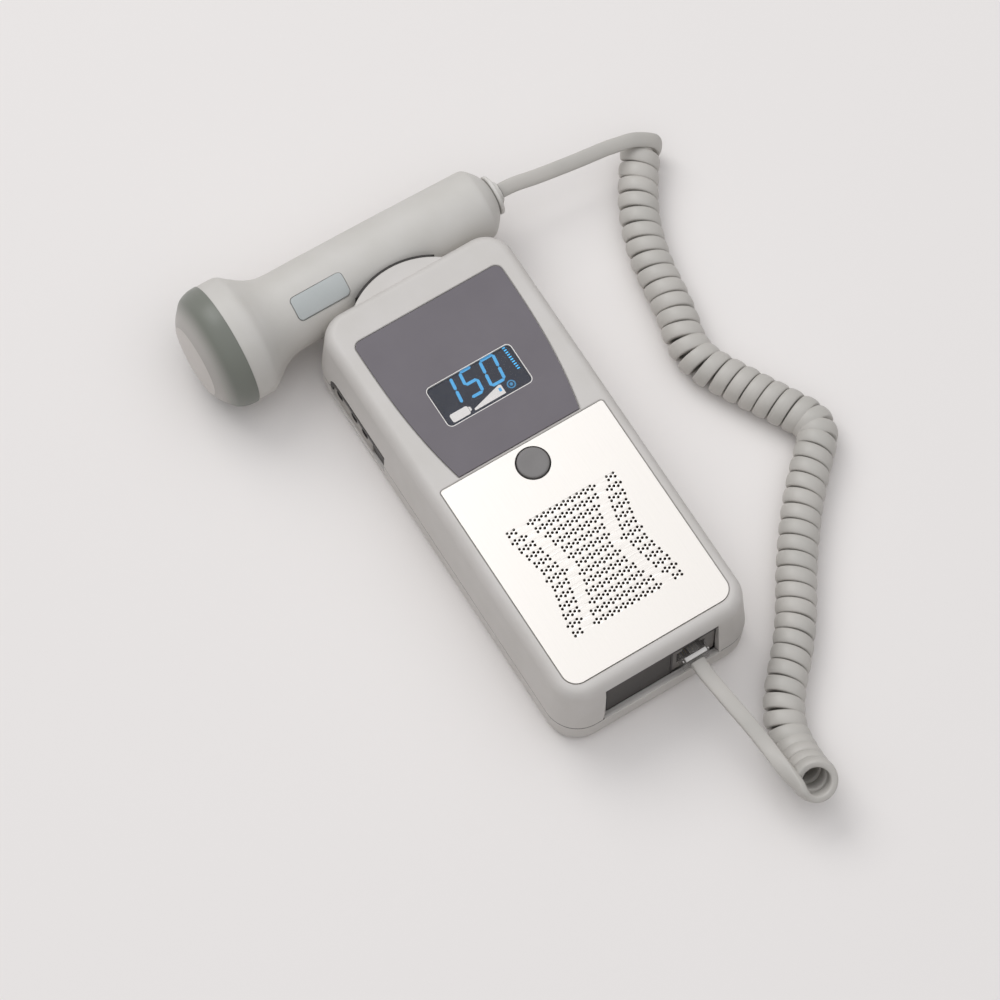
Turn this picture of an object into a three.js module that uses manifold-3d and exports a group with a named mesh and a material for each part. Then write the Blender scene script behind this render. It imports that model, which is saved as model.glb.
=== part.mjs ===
// Pocket fetal doppler monitor with a hand-held ultrasound probe on a curly cord.
// Millimetres. X runs across the case, Y along it towards the probe, Z up from the back face.
// The origin lies in the middle of the case's back face, which rests on the table.
import * as THREE from "three";
import { mergeVertices } from "three/addons/utils/BufferGeometryUtils.js";
import Module from "manifold-3d";

const wasm = await Module();
wasm.setup();

// Case, two moulded shells that meet at a seam
const caseWidth = 72.8;
const caseLength = 158.6;
const caseDepth = 36;
const seamHeight = 12;
const wall = 2.2;
const cornerRadius = 11.5;
const shoulderDrop = 6;
const shoulderHeight = caseDepth - shoulderDrop;
const sideDraft = 1.5;
const topRounding = 3.9;
const rearDraft = 0.4;
const rearRounding = 3.5;
const tongueThickness = 0.85;
const tongueDepth = 1.1;
const tongueRoot = 1;
const halfWidth = caseWidth / 2;
const halfLength = caseLength / 2;
const ceiling = caseDepth - wall;

// Shared clearances
const gap = 0.3;
const overrun = 4;

// Perforated plate over the speaker
const plateSide = 5.9;
const plateWidth = caseWidth - 2 * plateSide;
const plateEnd = 6.9;
const plateBottom = plateEnd - halfLength;
const plateLength = 78.5;
const plateTop = plateBottom + plateLength;
const plateThickness = 0.8;
const plateTopCorner = 1;
const plateBottomCorner = 5;

// Pattern of the perforation: bands of three rows, in a centre block and two side blocks
const holeRadius = 0.6;
const holeSides = 3;
const holeTurnShare = 0.08;
const holePitch = 2.48;
const rowSpacing = 0.68;
const bandPitch = 3.29;
const patternDrop = 24.1;
const firstBand = plateTop - patternDrop;
const sideBlockCentre = 14;
const sideBlockSlope = 0.6;
const sideBlockCurve = 0.028;
const centreOuterCounts = [10, 10, 8, 8, 7, 6, 6, 6, 7, 8, 8, 10, 10];
const centreMiddleCounts = [11, 9, 9, 7, 6, 7, 5, 7, 6, 7, 9, 9, 11];
const sideOuterCounts = [2, 2, 3, 3, 3, 3, 3, 3, 3, 3, 3, 2, 2];
const sideMiddleCounts = [1, 3, 2, 2, 2, 2, 4, 2, 2, 2, 2, 3, 1];

// Dark trim panel round the screen
const panelStrip = 1.2;
const panelBottom = plateTop + panelStrip;
const panelEnd = 14.7;
const panelTop = halfLength - panelEnd;
const panelSide = 8.9;
const panelHalfWidth = halfWidth - panelSide;
const panelStraight = 5;
const panelWaist = 4.9;
const panelWaistPower = 2.5;
const panelCorner = 2.5;
const panelThickness = 0.6;

// Screen
const screenWidth = 31.5;
const screenHeight = 16;
const screenShare = 0.4154;
const screenY = panelBottom + (panelTop - panelBottom) * screenShare;
const screenCorner = 2;
const windowThickness = 0.5;
const windowSunk = 0.2;
const moduleWidth = 38;
const moduleHeight = 24;
const moduleDepth = 5.5;
const glassDepth = 0.9;
const screenBorder = 0.5;

// Power button and the switch under it
const buttonDrop = 7.1;
const buttonY = plateTop - buttonDrop;
const buttonRadius = 5.5;
const buttonRing = 0.35;
const buttonProud = 0.8;
const buttonDome = 0.5;
const domeInnerShare = 0.875;
const buttonFlangeRadius = 6.75;
const buttonFlangeThickness = 1.5;
const buttonStemRadius = 2;
const buttonTravel = 0.8;
const switchSide = 6;
const switchShare = 0.26;
const plungerRadius = 1.6;
const plungerHeight = 0.4;

// Battery box, its cells and the circuit board on its top, stacked from the door up
const doorThickness = 1;
const doorSunk = 0.2;
const padHeight = 1.2;
const cellRadius = 7.25;
const cellLength = 50.5;
const cellNubRadius = 2.7;
const cellNubLength = 1;
const cellSpacing = 15.2;
const cellUnder = 0.55;
const cellOver = 0.25;
const cellSideRoom = 0.75;
const cellEndRoom = 5.1;
const boxWall = 1.2;
const boxHalfWidth = cellSpacing / 2 + cellRadius + cellSideRoom + boxWall;
const boxEnd = 17.3;
const boxNear = boxEnd - halfLength;
const boxFar = boxNear + cellLength + cellEndRoom + 2 * boxWall;
const cellHeight = doorSunk + doorThickness + padHeight + cellUnder + cellRadius;
const boxTop = cellHeight + cellRadius + cellOver + boxWall;
const boardBottom = boxTop + gap;
const boardThickness = 1.6;
const boardTop = boardBottom + boardThickness;
const frontRoom = ceiling - gap - boardTop;
const boardSide = 11.4;
const boardHalfWidth = halfWidth - boardSide;
const boardNearEnd = 20.3;
const boardNear = boardNearEnd - halfLength;
const boardFarEnd = 17.3;
const boardFar = halfLength - boardFarEnd;
const contactThickness = 0.5;
const contactSide = 9;
const springLength = 3;
const springBase = 3.2;
const springTip = 2.2;

// Battery door
const doorOverlap = 1.2;
const doorHalfWidth = boxHalfWidth + doorOverlap;
const doorNear = boxNear - doorOverlap;
const doorFar = boxFar + doorOverlap;
const doorCorner = 2;
const padInset = 0.3;
const notchRadius = 5;
const notchDepth = 0.6;

// Speaker, hung under the front face, its depth a share of the room over the board
const speakerFromPlate = 34.7;
const speakerY = plateBottom + speakerFromPlate;
const speakerSide = 13.9;
const speakerRadius = halfWidth - speakerSide;
const speakerFlange = 1.2;
const basketDepthShare = 0.51;
const basketDepth = frontRoom * basketDepthShare;
const magnetDepthShare = 0.28;
const magnetDepth = frontRoom * magnetDepthShare;
const coneDepthShare = 0.6;
const coneDepth = basketDepth * coneDepthShare;
const basketRadiusShare = 0.76;
const magnetRadiusShare = 0.49;
const coneRadiusShare = 0.84;
const coneMouthShare = 0.27;
const windowMargin = 0.9;
const clothThickness = 0.5;

// Case screws and their posts
const screwSide = 9.9;
const screwX = halfWidth - screwSide;
const screwNearEnd = 13.3;
const screwNear = screwNearEnd - halfLength;
const screwFarEnd = 11.3;
const screwFar = halfLength - screwFarEnd;
const rearPostRadius = 4.2;
const frontPostRadius = 3.4;
const counterboreRadius = 3.1;
const counterboreDepth = 7;
const screwHoleRadius = 1.65;
const screwRadius = 1.35;
const screwHeadRadius = 2.7;
const screwHeadHeight = 2.3;
const screwTop = 24;
const frontHoleTop = 25;

// Recess in the near end, with a blank panel and the cord's socket
const recessLeftSide = 15.6;
const recessLeft = recessLeftSide - halfWidth;
const recessRightSide = 15.1;
const recessRight = halfWidth - recessRightSide;
const recessDrop = 4.4;
const recessTop = caseDepth - recessDrop;
const recessBevel = 1.6;
const recessBevelDepth = 1.3;
const blankSunk = 1.9;
const blankFace = blankSunk - halfLength;
const blankThickness = 1.4;
const socketWidth = 16.7;
const socketLeft = recessRight - socketWidth;
const blankGap = 0.7;
const blankRight = socketLeft - blankGap;
const socketSunk = 2.4;
const socketFace = socketSunk - halfLength;
const socketDepth = 14.4;
const socketBack = socketFace + socketDepth;
const socketLift = 0.4;
const socketBottom = seamHeight + socketLift;

// Modular plug of the cord, in its socket
const plugInset = 9.7;
const plugX = recessRight - plugInset;
const plugWidth = 9.65;
const plugLift = 6;
const plugBottom = socketBottom + plugLift;
const plugHeight = 6.6;
const plugLength = 14.9;
const plugProud = 4;
const plugOuter = socketFace - plugProud;
const plugInner = plugOuter + plugLength;
const plugClearance = 0.35;
const mouthRoom = 1;
const mouthBack = plugInner + mouthRoom;
const latchWidth = 3.6;
const latchSlotWidth = 6.4;
const latchSlotHeight = 3;
const latchThickness = 0.8;
const latchRise = 1.9;
const latchRoot = 3;
const latchTail = 1.6;
const wireCount = 6;
const wirePitch = 1.1;
const wireSide = 0.4;
const wireGrooveGap = 0.1;
const bladeLength = 3;
const bladeHeight = 2.2;

// Recess in the left side, with the panel of sockets and the thumbwheel
const sideFarEnd = 13.6;
const sideFar = halfLength - sideFarEnd;
const sideLength = 33.7;
const sideNear = sideFar - sideLength;
const sideHalfHeight = 6;
const sideLow = seamHeight - sideHalfHeight;
const sideHigh = seamHeight + sideHalfHeight;
const sidePanelSunk = 1.3;
const sidePanelFace = sidePanelSunk - halfWidth;
const sidePanelThickness = 1;
const sidePanelBack = sidePanelFace + sidePanelThickness;
const wingRoom = 1.6;
const wingLeft = sidePanelBack + wingRoom;
const wingReach = 2;
const wingNear = sideNear - wingReach;
const audioPlaces = [5.1, 14.2, 20.8];
const audioY = audioPlaces.map((place) => sideFar - place);
const audioBore = 1.8;
const audioNose = 2.5;
const audioNoseSunk = 0.6;
const sideSetback = 0.9;
const audioHalfWidth = 2.8;
const audioDepth = 11;
const audioDrop = 2.6;
const audioLow = seamHeight - audioDrop;
const audioBoreDepth = 9;
const wheelInset = 5.2;
const wheelX = sidePanelFace + wheelInset;
const wheelPlace = 4.6;
const wheelY = sideNear + wheelPlace;
const wheelRadius = 5.5;
const wheelThickness = 3.2;
const wheelBore = 1.8;
const wheelKnurl = 0.35;
const wheelTeeth = 16;
const potHalfSide = 4.3;
const potGap = 0.4;
const potBottom = seamHeight + wheelThickness / 2 + potGap;
const potShaftRadius = 1.5;

// Holder for the probe: a lip on each shell
const lipX = -3;
const lipPlace = 24.4;
const lipY = halfLength - lipPlace;
const lipRadius = 27.6;
const lipOverlap = 3.4;
const lipRoot = halfLength - lipOverlap;
const lipSunk = 1.5;
const lipTop = caseDepth - lipSunk;
const lipLow = 2.6;
const lipChamfer = 0.8;
const upperLipLow = 24;
const holderGap = 0.4;

// Probe, turned about an axis along X
const probeAway = 13;
const probeY = halfLength + probeAway;
const probeZ = 21.4;
const probeWall = 2;
const probeSeam = -57;
const handleLeftRadius = 13.7;
const handleMidRadius = 13.5;
const handleCentreRadius = 13.2;
const handleRightRadius = 12.4;
const handleLeft = -38;
const handleMid = -20;
const handleRight = 34;
const endChamfer = 37;
const endFace = 41.5;
const endRadius = 6.5;
const cableHole = 3.4;
const headRadius = 21;
const rimProud = 0.2;
const headRim = headRadius + rimProud;
const faceRadius = 14.4;
const faceEdge = -70.1;
const faceCrown = -72.5;
const faceThickness = 4;
const spigotLength = 4;
const spigotWall = 1.2;
const crystalThickness = 1.2;
const crystalRadius = 11;
const crystalSplit = 0.6;
const backingLength = 6;
const probeBoardLength = 70;
const probeBoardWidth = 20;
const probeBoardLeft = -44;

// Label plate on the handle
const labelLeft = -36.6;
const labelRight = -17.5;
const labelNearSide = 9.8;
const labelNear = probeY - labelNearSide;
const labelFarSide = 2.7;
const labelFar = probeY - labelFarSide;
const labelCorner = 1.4;
const labelOuter = 13.85;
const labelThickness = 0.55;

// Gland of the cord on the probe
const glandFlangeRadius = 6.2;
const glandFlange = 1.2;
const glandRadius = 4;
const glandTip = 3.1;
const glandEnd = 45;
const glandStem = 5;
const glandStemRadius = 3.1;

// Curly cord, a flat one wound with its broad side outwards
const cordWidth = 5;
const cordThickness = 2.7;
const cordCrown = 0.5;
const coilRadius = 5.5;
const coilPitch = 5.35;
const coilOpening = 0.1;
const coilEndOpening = 0.5;
const coilOpeningTurns = 0.5;
const coilFirstEase = 0.32;
const coilBendEase = 1.15;
const coilLeastShare = 0.2;
const coilExtraTurn = 0.72;
const coilFirstTurn = 0.14;
const coilStep = 0.25;
const wringEarly = 0.25;
const wringLength = 30;
const bendAverage = 2;
const curlSteps = 8;
const neighbourShare = 1.8;
const nearShare = 2;
const lengthSteps = 6;
// The lead from the probe to the coil, by points
const probeLead = [
  [45.3, 92.3, 21.4],
  [50.3, 92.1, 21.2],
  [58, 91.0, 20.4],
  [66, 90.1, 19.6],
  [74, 89.3, 18.9],
  [78.9, 88.9, 18.5],
];
const coilEntry = [
  [78.9, 88.9, 18.5],
  [83.8, 88.5, 18.1],
  [89.1, 87.7, 17.6],
  [94.4, 86.7, 16.8],
];
// The middle line of the coil, by points
const coilMiddle = [
  [98.9, 88.6, 9.4],
  [95.2, 84.0, 8.0],
  [90.4, 77.4, 7],
  [86.4, 71.2, 7],
  [83.0, 64.7, 7],
  [80.3, 57.8, 7],
  [78.2, 50.5, 7],
  [76.8, 43.0, 7],
  [75.7, 35.2, 7],
  [74.2, 27.4, 7],
  [72.4, 20.8, 7],
  [72.0, 14.6, 7],
  [73.6, 7.8, 7],
  [76.6, 1.7, 7],
  [79.7, -4.2, 7],
  [82.9, -10.0, 7],
  [86.1, -15.8, 7],
  [88.9, -20.8, 7],
  [91.0, -25.0, 7],
  [91.5, -28.6, 7],
  [90.1, -31.9, 7],
  [87.4, -34.8, 7],
  [84.2, -37.9, 7],
  [79.2, -42.8, 7],
  [74.2, -48.0, 7],
  [69.6, -53.4, 7],
  [65.2, -58.9, 7],
  [61.0, -64.5, 7],
  [57.0, -70.2, 7],
  [53.2, -75.9, 7],
  [49.4, -81.5, 7],
  [45.2, -86.9, 7],
  [40.6, -92.1, 7],
  [35.8, -97.2, 7],
  [31.3, -102.6, 7],
  [27.7, -108.5, 7],
  [25.9, -114.3, 7],
  [25.1, -118.8, 7.7],
  [24.5, -122.8, 9.6],
  [23.8, -126.9, 12.5],
  [23.1, -130.9, 16.1],
  [22.3, -134.7, 20.1],
];
// From the coil up to the lead that runs to the plug, by points
const coilExit = [
  [16.4, -132.6, 19.6],
  [15.9, -126.6, 19.7],
  [15.5, -120.8, 19.6],
  [15.3, -115.6, 19.2],
];
const plugLead = [
  [15.3, -115.6, 19.2],
  [14.4, -107.5, 20.1],
  [13.2, -99.0, 20.8],
  [12.2, -91.0, 21.3],
  [11.6, -85.9, 21.6],
  [11.6, -81.2, 21.6],
];

// Colours of the photographed pieces: [colour, roughness, metalness]
const finishes = {
  shell: ["#c8c3bf", 0.55, 0],
  plate: ["#f2f0ee", 0.3, 0.8],
  panel: ["#7d787e", 0.5, 0],
  screen: ["#4a4e58", 0.2, 0],
  clear: ["#c9d2d8", 0.1, 0],
  button: ["#83817f", 0.5, 0],
  dark: ["#55514e", 0.55, 0],
  black: ["#2a2623", 0.5, 0],
  board: ["#2f5a3c", 0.6, 0],
  steel: ["#b9b8b4", 0.35, 0.9],
  brass: ["#b69a5c", 0.35, 0.9],
  cell: ["#56585c", 0.4, 0.4],
  probe: ["#c6c2bd", 0.5, 0],
  cap: ["#7b7c77", 0.35, 0],
  face: ["#b7b2af", 0.4, 0],
  label: ["#b8bcbb", 0.35, 0],
  cord: ["#bfbcb6", 0.5, 0],
  ceramic: ["#d8d2c2", 0.6, 0],
  resin: ["#3a3f45", 0.7, 0],
  cloth: ["#1e1c1b", 0.95, 0],
};

// A closed geometry as a solid that can be joined and cut.
const mergeTolerance = 1e-4;
function solid(geometry) {
  const bare = geometry.clone();
  for (const name of Object.keys(bare.attributes)) {
    if (name !== "position") bare.deleteAttribute(name);
  }
  const merged = mergeVertices(bare, mergeTolerance);
  const triVerts = new Uint32Array(merged.index.array);
  const vertProperties = merged.attributes.position.array;
  return new wasm.Manifold(new wasm.Mesh({ numProp: 3, vertProperties, triVerts }));
}

// A solid's triangles as a geometry, with flat normals.
function geometryOf(made) {
  const mesh = made.getMesh();
  const geometry = new THREE.BufferGeometry();
  const corners = new THREE.BufferAttribute(new Float32Array(mesh.vertProperties), mesh.numProp);
  geometry.setAttribute("position", corners);
  geometry.setIndex(new THREE.BufferAttribute(new Uint32Array(mesh.triVerts), 1));
  geometry.computeVertexNormals();
  return geometry;
}

function joined(...solids) {
  return solids.reduce((whole, next) => whole.add(next));
}

// A box between low and high values along each axis.
function box(x, y, z) {
  const made = new THREE.BoxGeometry(x[1] - x[0], y[1] - y[0], z[1] - z[0]);
  return solid(made.translate((x[0] + x[1]) / 2, (y[0] + y[1]) / 2, (z[0] + z[1]) / 2));
}

// An outline in the XY plane, raised between two heights.
function prism(outline, low, high, curveSegments = 2) {
  const made = new THREE.ExtrudeGeometry(outline, {
    depth: high - low,
    bevelEnabled: false,
    curveSegments,
  });
  return solid(made.translate(0, 0, low));
}

// A profile of [radius, height] points turned about Z, which starts and ends on the axis or closes.
function turned(profile, sides) {
  const points = profile.map(([radius, height]) => new THREE.Vector2(radius, height));
  const area = points.reduce((sum, point, i) => {
    const next = points[(i + 1) % points.length];
    return sum + point.x * next.y - next.x * point.y;
  }, 0);
  if (area < 0) points.reverse();
  const onAxis = points[0].x === 0 && points[points.length - 1].x === 0;
  if (!onAxis) points.push(points[0].clone());
  return solid(new THREE.LatheGeometry(points, sides).rotateX(Math.PI / 2));
}

// A round bar along Z at a place, between two heights.
function rod(x, y, radius, low, high, sides = 12) {
  const bar = new THREE.CylinderGeometry(radius, radius, high - low, sides).rotateX(Math.PI / 2);
  return solid(bar.translate(x, y, (low + high) / 2));
}

// A round bar along X.
function rodAlongX(y, z, radius, left, right, sides = 20) {
  const bar = new THREE.CylinderGeometry(radius, radius, right - left, sides).rotateZ(Math.PI / 2);
  return solid(bar.translate((left + right) / 2, y, z));
}

// A solid turned about Z laid down so that its heights run along X.
function alongX(made) {
  return solid(geometryOf(made).rotateY(Math.PI / 2));
}

// A rectangle with a radius for each corner: bottom left, bottom right, top right, top left.
function roundedOutline([left, right], [bottom, top], [first, second, third, fourth]) {
  const outline = new THREE.Shape();
  outline.moveTo(left + first, bottom);
  outline.lineTo(right - second, bottom);
  outline.absarc(right - second, bottom + second, second, -Math.PI / 2, 0, false);
  outline.lineTo(right, top - third);
  outline.absarc(right - third, top - third, third, 0, Math.PI / 2, false);
  outline.lineTo(left + fourth, top);
  outline.absarc(left + fourth, top - fourth, fourth, Math.PI / 2, Math.PI, false);
  outline.lineTo(left, bottom + first);
  outline.absarc(left + first, bottom + first, first, Math.PI, Math.PI * 1.5, false);
  return outline;
}

// The case's outline drawn in by an inset, as a ring of points at a height.
const cornerSteps = 4;
function caseRing({ height, inset }) {
  const radius = cornerRadius - inset;
  const cornerX = caseWidth / 2 - cornerRadius;
  const cornerY = caseLength / 2 - cornerRadius;
  const points = [];
  for (let corner = 0; corner < 4; corner++) {
    const signX = corner === 0 || corner === 3 ? 1 : -1;
    const signY = corner < 2 ? 1 : -1;
    for (let step = 0; step <= cornerSteps; step++) {
      const angle = ((corner + step / cornerSteps) * Math.PI) / 2;
      const x = signX * cornerX + radius * Math.cos(angle);
      const y = signY * cornerY + radius * Math.sin(angle);
      points.push([x, y, height]);
    }
  }
  return points;
}

// A closed body through rings of points, each ring with as many points.
function skin(rings) {
  const count = rings[0].length;
  const last = rings.length - 1;
  const triangles = [];
  for (let i = 0; i < last; i++) {
    for (let j = 0; j < count; j++) {
      const a = i * count + j;
      const b = i * count + ((j + 1) % count);
      triangles.push(a, b, b + count, a, b + count, a + count);
    }
  }
  for (let j = 1; j < count - 1; j++) {
    triangles.push(0, j + 1, j);
    triangles.push(last * count, last * count + j, last * count + j + 1);
  }
  const geometry = new THREE.BufferGeometry();
  geometry.setAttribute("position", new THREE.Float32BufferAttribute(rings.flat(2), 3));
  geometry.setIndex(triangles);
  geometry.computeVertexNormals();
  return geometry;
}

// The case between levels of [height, inset].
function caseBody(levels) {
  return solid(skin(levels.map(([height, inset]) => caseRing({ height, inset }))));
}

const roundingSteps = 3;
// The front shell's levels, drawn in by a wall, from a height near the seam to the front face.
function frontLevels(start, offset) {
  const rise = caseDepth - offset - shoulderHeight;
  const width = (topRounding * rise) / (caseDepth - shoulderHeight);
  const levels = [[start, offset], [shoulderHeight, sideDraft + offset]];
  for (let step = 1; step <= roundingSteps; step++) {
    const angle = ((step / roundingSteps) * Math.PI) / 2;
    const inset = sideDraft + offset + width * (1 - Math.cos(angle));
    levels.push([shoulderHeight + rise * Math.sin(angle), inset]);
  }
  return levels;
}

// The rear shell's levels, from the back face to a height near the seam.
function rearLevels(end, offset) {
  const radius = rearRounding - offset / 2;
  const levels = [];
  for (let step = 0; step <= roundingSteps; step++) {
    const angle = ((step / roundingSteps) * Math.PI) / 2;
    const inset = rearDraft + offset + radius * (1 - Math.sin(angle));
    levels.push([offset + radius * (1 - Math.cos(angle)), inset]);
  }
  levels.push([end, offset]);
  return levels;
}

const group = new THREE.Group();
const probe = new THREE.Group();
probe.position.set(0, probeY, probeZ);
group.add(probe);

// One named mesh of the object.
function piece(name, made, finish, parent = group) {
  const [color, roughness, metalness] = finishes[finish];
  const material = new THREE.MeshStandardMaterial({ color, roughness, metalness });
  const geometry = made.isBufferGeometry ? made : geometryOf(made);
  const mesh = new THREE.Mesh(geometry, material);
  mesh.name = name;
  parent.add(mesh);
}

const screwPlaces = [
  [-screwX, screwNear],
  [screwX, screwNear],
  [-screwX, screwFar],
  [screwX, screwFar],
];

// The screen's opening and the button's hole, which several pieces share
const screenX = [-screenWidth / 2, screenWidth / 2];
const screenRows = [screenY - screenHeight / 2, screenY + screenHeight / 2];
const buttonHole = buttonRadius + buttonRing;

// Where the side and end recesses open the walls
const sideOpening = box(
  [-halfWidth - overrun, sidePanelFace + sidePanelThickness + overrun / 2],
  [sideNear, sideFar],
  [sideLow, sideHigh],
);
function endOpening() {
  const outline = new THREE.Shape();
  outline.moveTo(recessLeft - recessBevel - overrun, -halfLength - overrun);
  outline.lineTo(recessRight, -halfLength - overrun);
  outline.lineTo(recessRight, -halfLength + wall * 2 + gap);
  outline.lineTo(recessLeft, -halfLength + wall * 2 + gap);
  outline.lineTo(recessLeft, -halfLength + recessBevelDepth);
  outline.lineTo(recessLeft - recessBevel, -halfLength);
  return prism(outline, seamHeight - overrun, recessTop);
}

// A lip of the probe holder: a segment of a disc, hollowed to go round the handle.
const holderRadius = handleCentreRadius + holderGap;
function holderLip(low, high, chamferTop) {
  const rim = chamferTop ? lipRadius - lipChamfer : lipRadius;
  const foot = chamferTop ? lipRadius : lipRadius - lipChamfer;
  const profile = [[0, low], [foot, low], [lipRadius, low + lipChamfer]];
  profile.push([lipRadius, high - lipChamfer], [rim, high], [0, high]);
  const disc = turned(profile, 52).translate([lipX, lipY, 0]);
  const outside = box(
    [lipX - lipRadius, lipX + lipRadius],
    [lipRoot, lipY + lipRadius + overrun],
    [low, high],
  );
  const handle = rodAlongX(probeY, probeZ, holderRadius, -halfWidth, halfWidth, 32);
  return disc.intersect(outside).subtract(handle);
}

// The dark panel's outline, narrowing in a curve towards its bottom edge, grown by a margin.
function panelOutline(margin) {
  const outline = new THREE.Shape();
  const straight = panelTop - panelStraight;
  const corner = panelCorner + margin;
  const side = panelHalfWidth + margin;
  const steps = 5;
  const edge = [];
  for (let step = 0; step <= steps; step++) {
    const down = step / steps;
    const y = straight - down * (straight - panelBottom + margin);
    edge.push([side - panelWaist * Math.pow(down, panelWaistPower), y]);
  }
  outline.moveTo(-side, straight);
  for (const [x, y] of edge) outline.lineTo(-x, y);
  for (const [x, y] of [...edge].reverse()) outline.lineTo(x, y);
  outline.lineTo(side, panelTop + margin - corner);
  outline.absarc(side - corner, panelTop + margin - corner, corner, 0, Math.PI / 2, false);
  outline.lineTo(corner - side, panelTop + margin);
  outline.absarc(corner - side, panelTop + margin - corner, corner, Math.PI / 2, Math.PI, false);
  return outline;
}

function plateOutline(margin) {
  const half = plateWidth / 2 + margin;
  const lower = plateBottomCorner + margin;
  const upper = plateTopCorner + margin;
  const rows = [plateBottom - margin, plateTop + margin];
  return roundedOutline([-half, half], rows, [lower, lower, upper, upper]);
}

function screenOutline(margin) {
  const corner = screenCorner + margin;
  return roundedOutline(
    [screenX[0] - margin, screenX[1] + margin],
    [screenRows[0] - margin, screenRows[1] + margin],
    [corner, corner, corner, corner],
  );
}

const speakerWindow = {
  x: [-speakerRadius + windowMargin, speakerRadius - windowMargin],
  y: [speakerY - speakerRadius + 2 * windowMargin, speakerY + speakerRadius - 2 * windowMargin],
};

function frontShell() {
  const seam = seamHeight + gap / 2;
  const outside = caseBody(frontLevels(seam, 0));
  const inside = caseBody(frontLevels(seam - overrun, wall));
  const tongueOuter = wall - tongueThickness;
  const tongue = caseBody([
    [seamHeight - tongueDepth, tongueOuter],
    [seamHeight + tongueRoot, tongueOuter],
  ]);
  let shell = joined(outside, tongue).subtract(inside);
  for (const [x, y] of screwPlaces) {
    shell = shell.add(rod(x, y, frontPostRadius, seam, ceiling + wall / 2));
  }
  shell = shell.add(holderLip(upperLipLow, lipTop, true));
  for (const [x, y] of screwPlaces) {
    shell = shell.subtract(rod(x, y, screwHoleRadius, seam - overrun, frontHoleTop, 12));
  }
  const platePocket = caseDepth - plateThickness - gap;
  const panelPocket = caseDepth - panelThickness - gap;
  const top = caseDepth + overrun;
  return shell
    .subtract(prism(plateOutline(gap), platePocket, top))
    .subtract(prism(panelOutline(gap), panelPocket, top))
    .subtract(prism(screenOutline(screenBorder), ceiling - overrun, top))
    .subtract(rod(0, buttonY, buttonHole, ceiling - overrun, top, 20))
    .subtract(box(speakerWindow.x, speakerWindow.y, [ceiling - overrun, top]))
    .subtract(sideOpening)
    .subtract(endOpening());
}
piece("front_shell", frontShell(), "shell");

// The battery door's outline, grown by a margin.
function doorOutline(margin) {
  const half = doorHalfWidth + margin;
  const corner = doorCorner + margin;
  const rows = [doorNear - margin, doorFar + margin];
  return roundedOutline([-half, half], rows, [corner, corner, corner, corner]);
}

const bay = {
  x: [-boxHalfWidth + boxWall, boxHalfWidth - boxWall],
  y: [boxNear + boxWall, boxFar - boxWall],
};

function rearShell() {
  const seam = seamHeight - gap / 2;
  const outside = caseBody(rearLevels(seam, 0));
  const inside = caseBody(rearLevels(seam + overrun, wall));
  const rebateInset = wall - tongueThickness - gap;
  const rebate = caseBody([
    [seamHeight - tongueDepth - gap, rebateInset],
    [seamHeight + overrun, rebateInset],
  ]);
  let shell = outside.subtract(inside).subtract(rebate);
  for (const [x, y] of screwPlaces) {
    shell = shell.add(rod(x, y, rearPostRadius, wall / 2, seam));
  }
  for (const [x, y] of screwPlaces) {
    shell = shell
      .subtract(rod(x, y, counterboreRadius, -overrun, counterboreDepth))
      .subtract(rod(x, y, screwHoleRadius, 0, seam + overrun, 12));
  }
  const doorSeat = doorSunk + doorThickness + gap;
  return shell
    .add(holderLip(lipLow, seam, false).subtract(rebate))
    .subtract(prism(doorOutline(gap), -overrun, doorSeat))
    .subtract(box(bay.x, bay.y, [-overrun, wall + overrun]))
    .subtract(sideOpening);
}
piece("rear_shell", rearShell(), "shell");

// Centres of the small holes: three rows to a band, drawn in towards the middle band.
function perforation() {
  const places = [];
  const bands = centreOuterCounts.length;
  function row(centre, y, count) {
    for (let i = 0; i < count; i++) places.push([centre + (i - (count - 1) / 2) * holePitch, y]);
  }
  for (let band = 0; band < bands; band++) {
    const y = firstBand - band * bandPitch;
    const away = Math.abs(band - (bands - 1) / 2);
    const side = sideBlockCentre + sideBlockSlope * away + sideBlockCurve * away * away;
    for (const line of [-1, 0, 1]) {
      const middle = line === 0;
      row(0, y + line * rowSpacing, (middle ? centreMiddleCounts : centreOuterCounts)[band]);
      const count = (middle ? sideMiddleCounts : sideOuterCounts)[band];
      row(side, y + line * rowSpacing, count);
      row(-side, y + line * rowSpacing, count);
    }
  }
  return places;
}

function grillePlate() {
  const outline = plateOutline(0);
  const holes = perforation();
  for (const [x, y] of holes) {
    const hole = new THREE.Path();
    for (let corner = 0; corner < holeSides; corner++) {
      const angle = ((corner + holeTurnShare) * 2 * Math.PI) / holeSides;
      const cornerX = x + holeRadius * Math.sin(angle);
      const cornerY = y + holeRadius * Math.cos(angle);
      if (corner === 0) hole.moveTo(cornerX, cornerY);
      else hole.lineTo(cornerX, cornerY);
    }
    outline.holes.push(hole);
  }
  const buttonOpening = rod(0, buttonY, buttonHole, ceiling, caseDepth + overrun, 20);
  return prism(outline, caseDepth - plateThickness, caseDepth, 3).subtract(buttonOpening);
}
piece("grille_plate", grillePlate(), "plate");

function displayPanel() {
  const outline = panelOutline(0);
  const opening = prism(screenOutline(0), caseDepth - overrun, caseDepth + overrun);
  return prism(outline, caseDepth - panelThickness, caseDepth).subtract(opening);
}
piece("display_panel", displayPanel(), "panel");

// The window lies in the panel's opening, just under the front face.
const windowTop = caseDepth - windowSunk;
const windowBottom = windowTop - windowThickness;
piece("screen_window", prism(screenOutline(-gap), windowBottom, windowTop), "clear");

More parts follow.
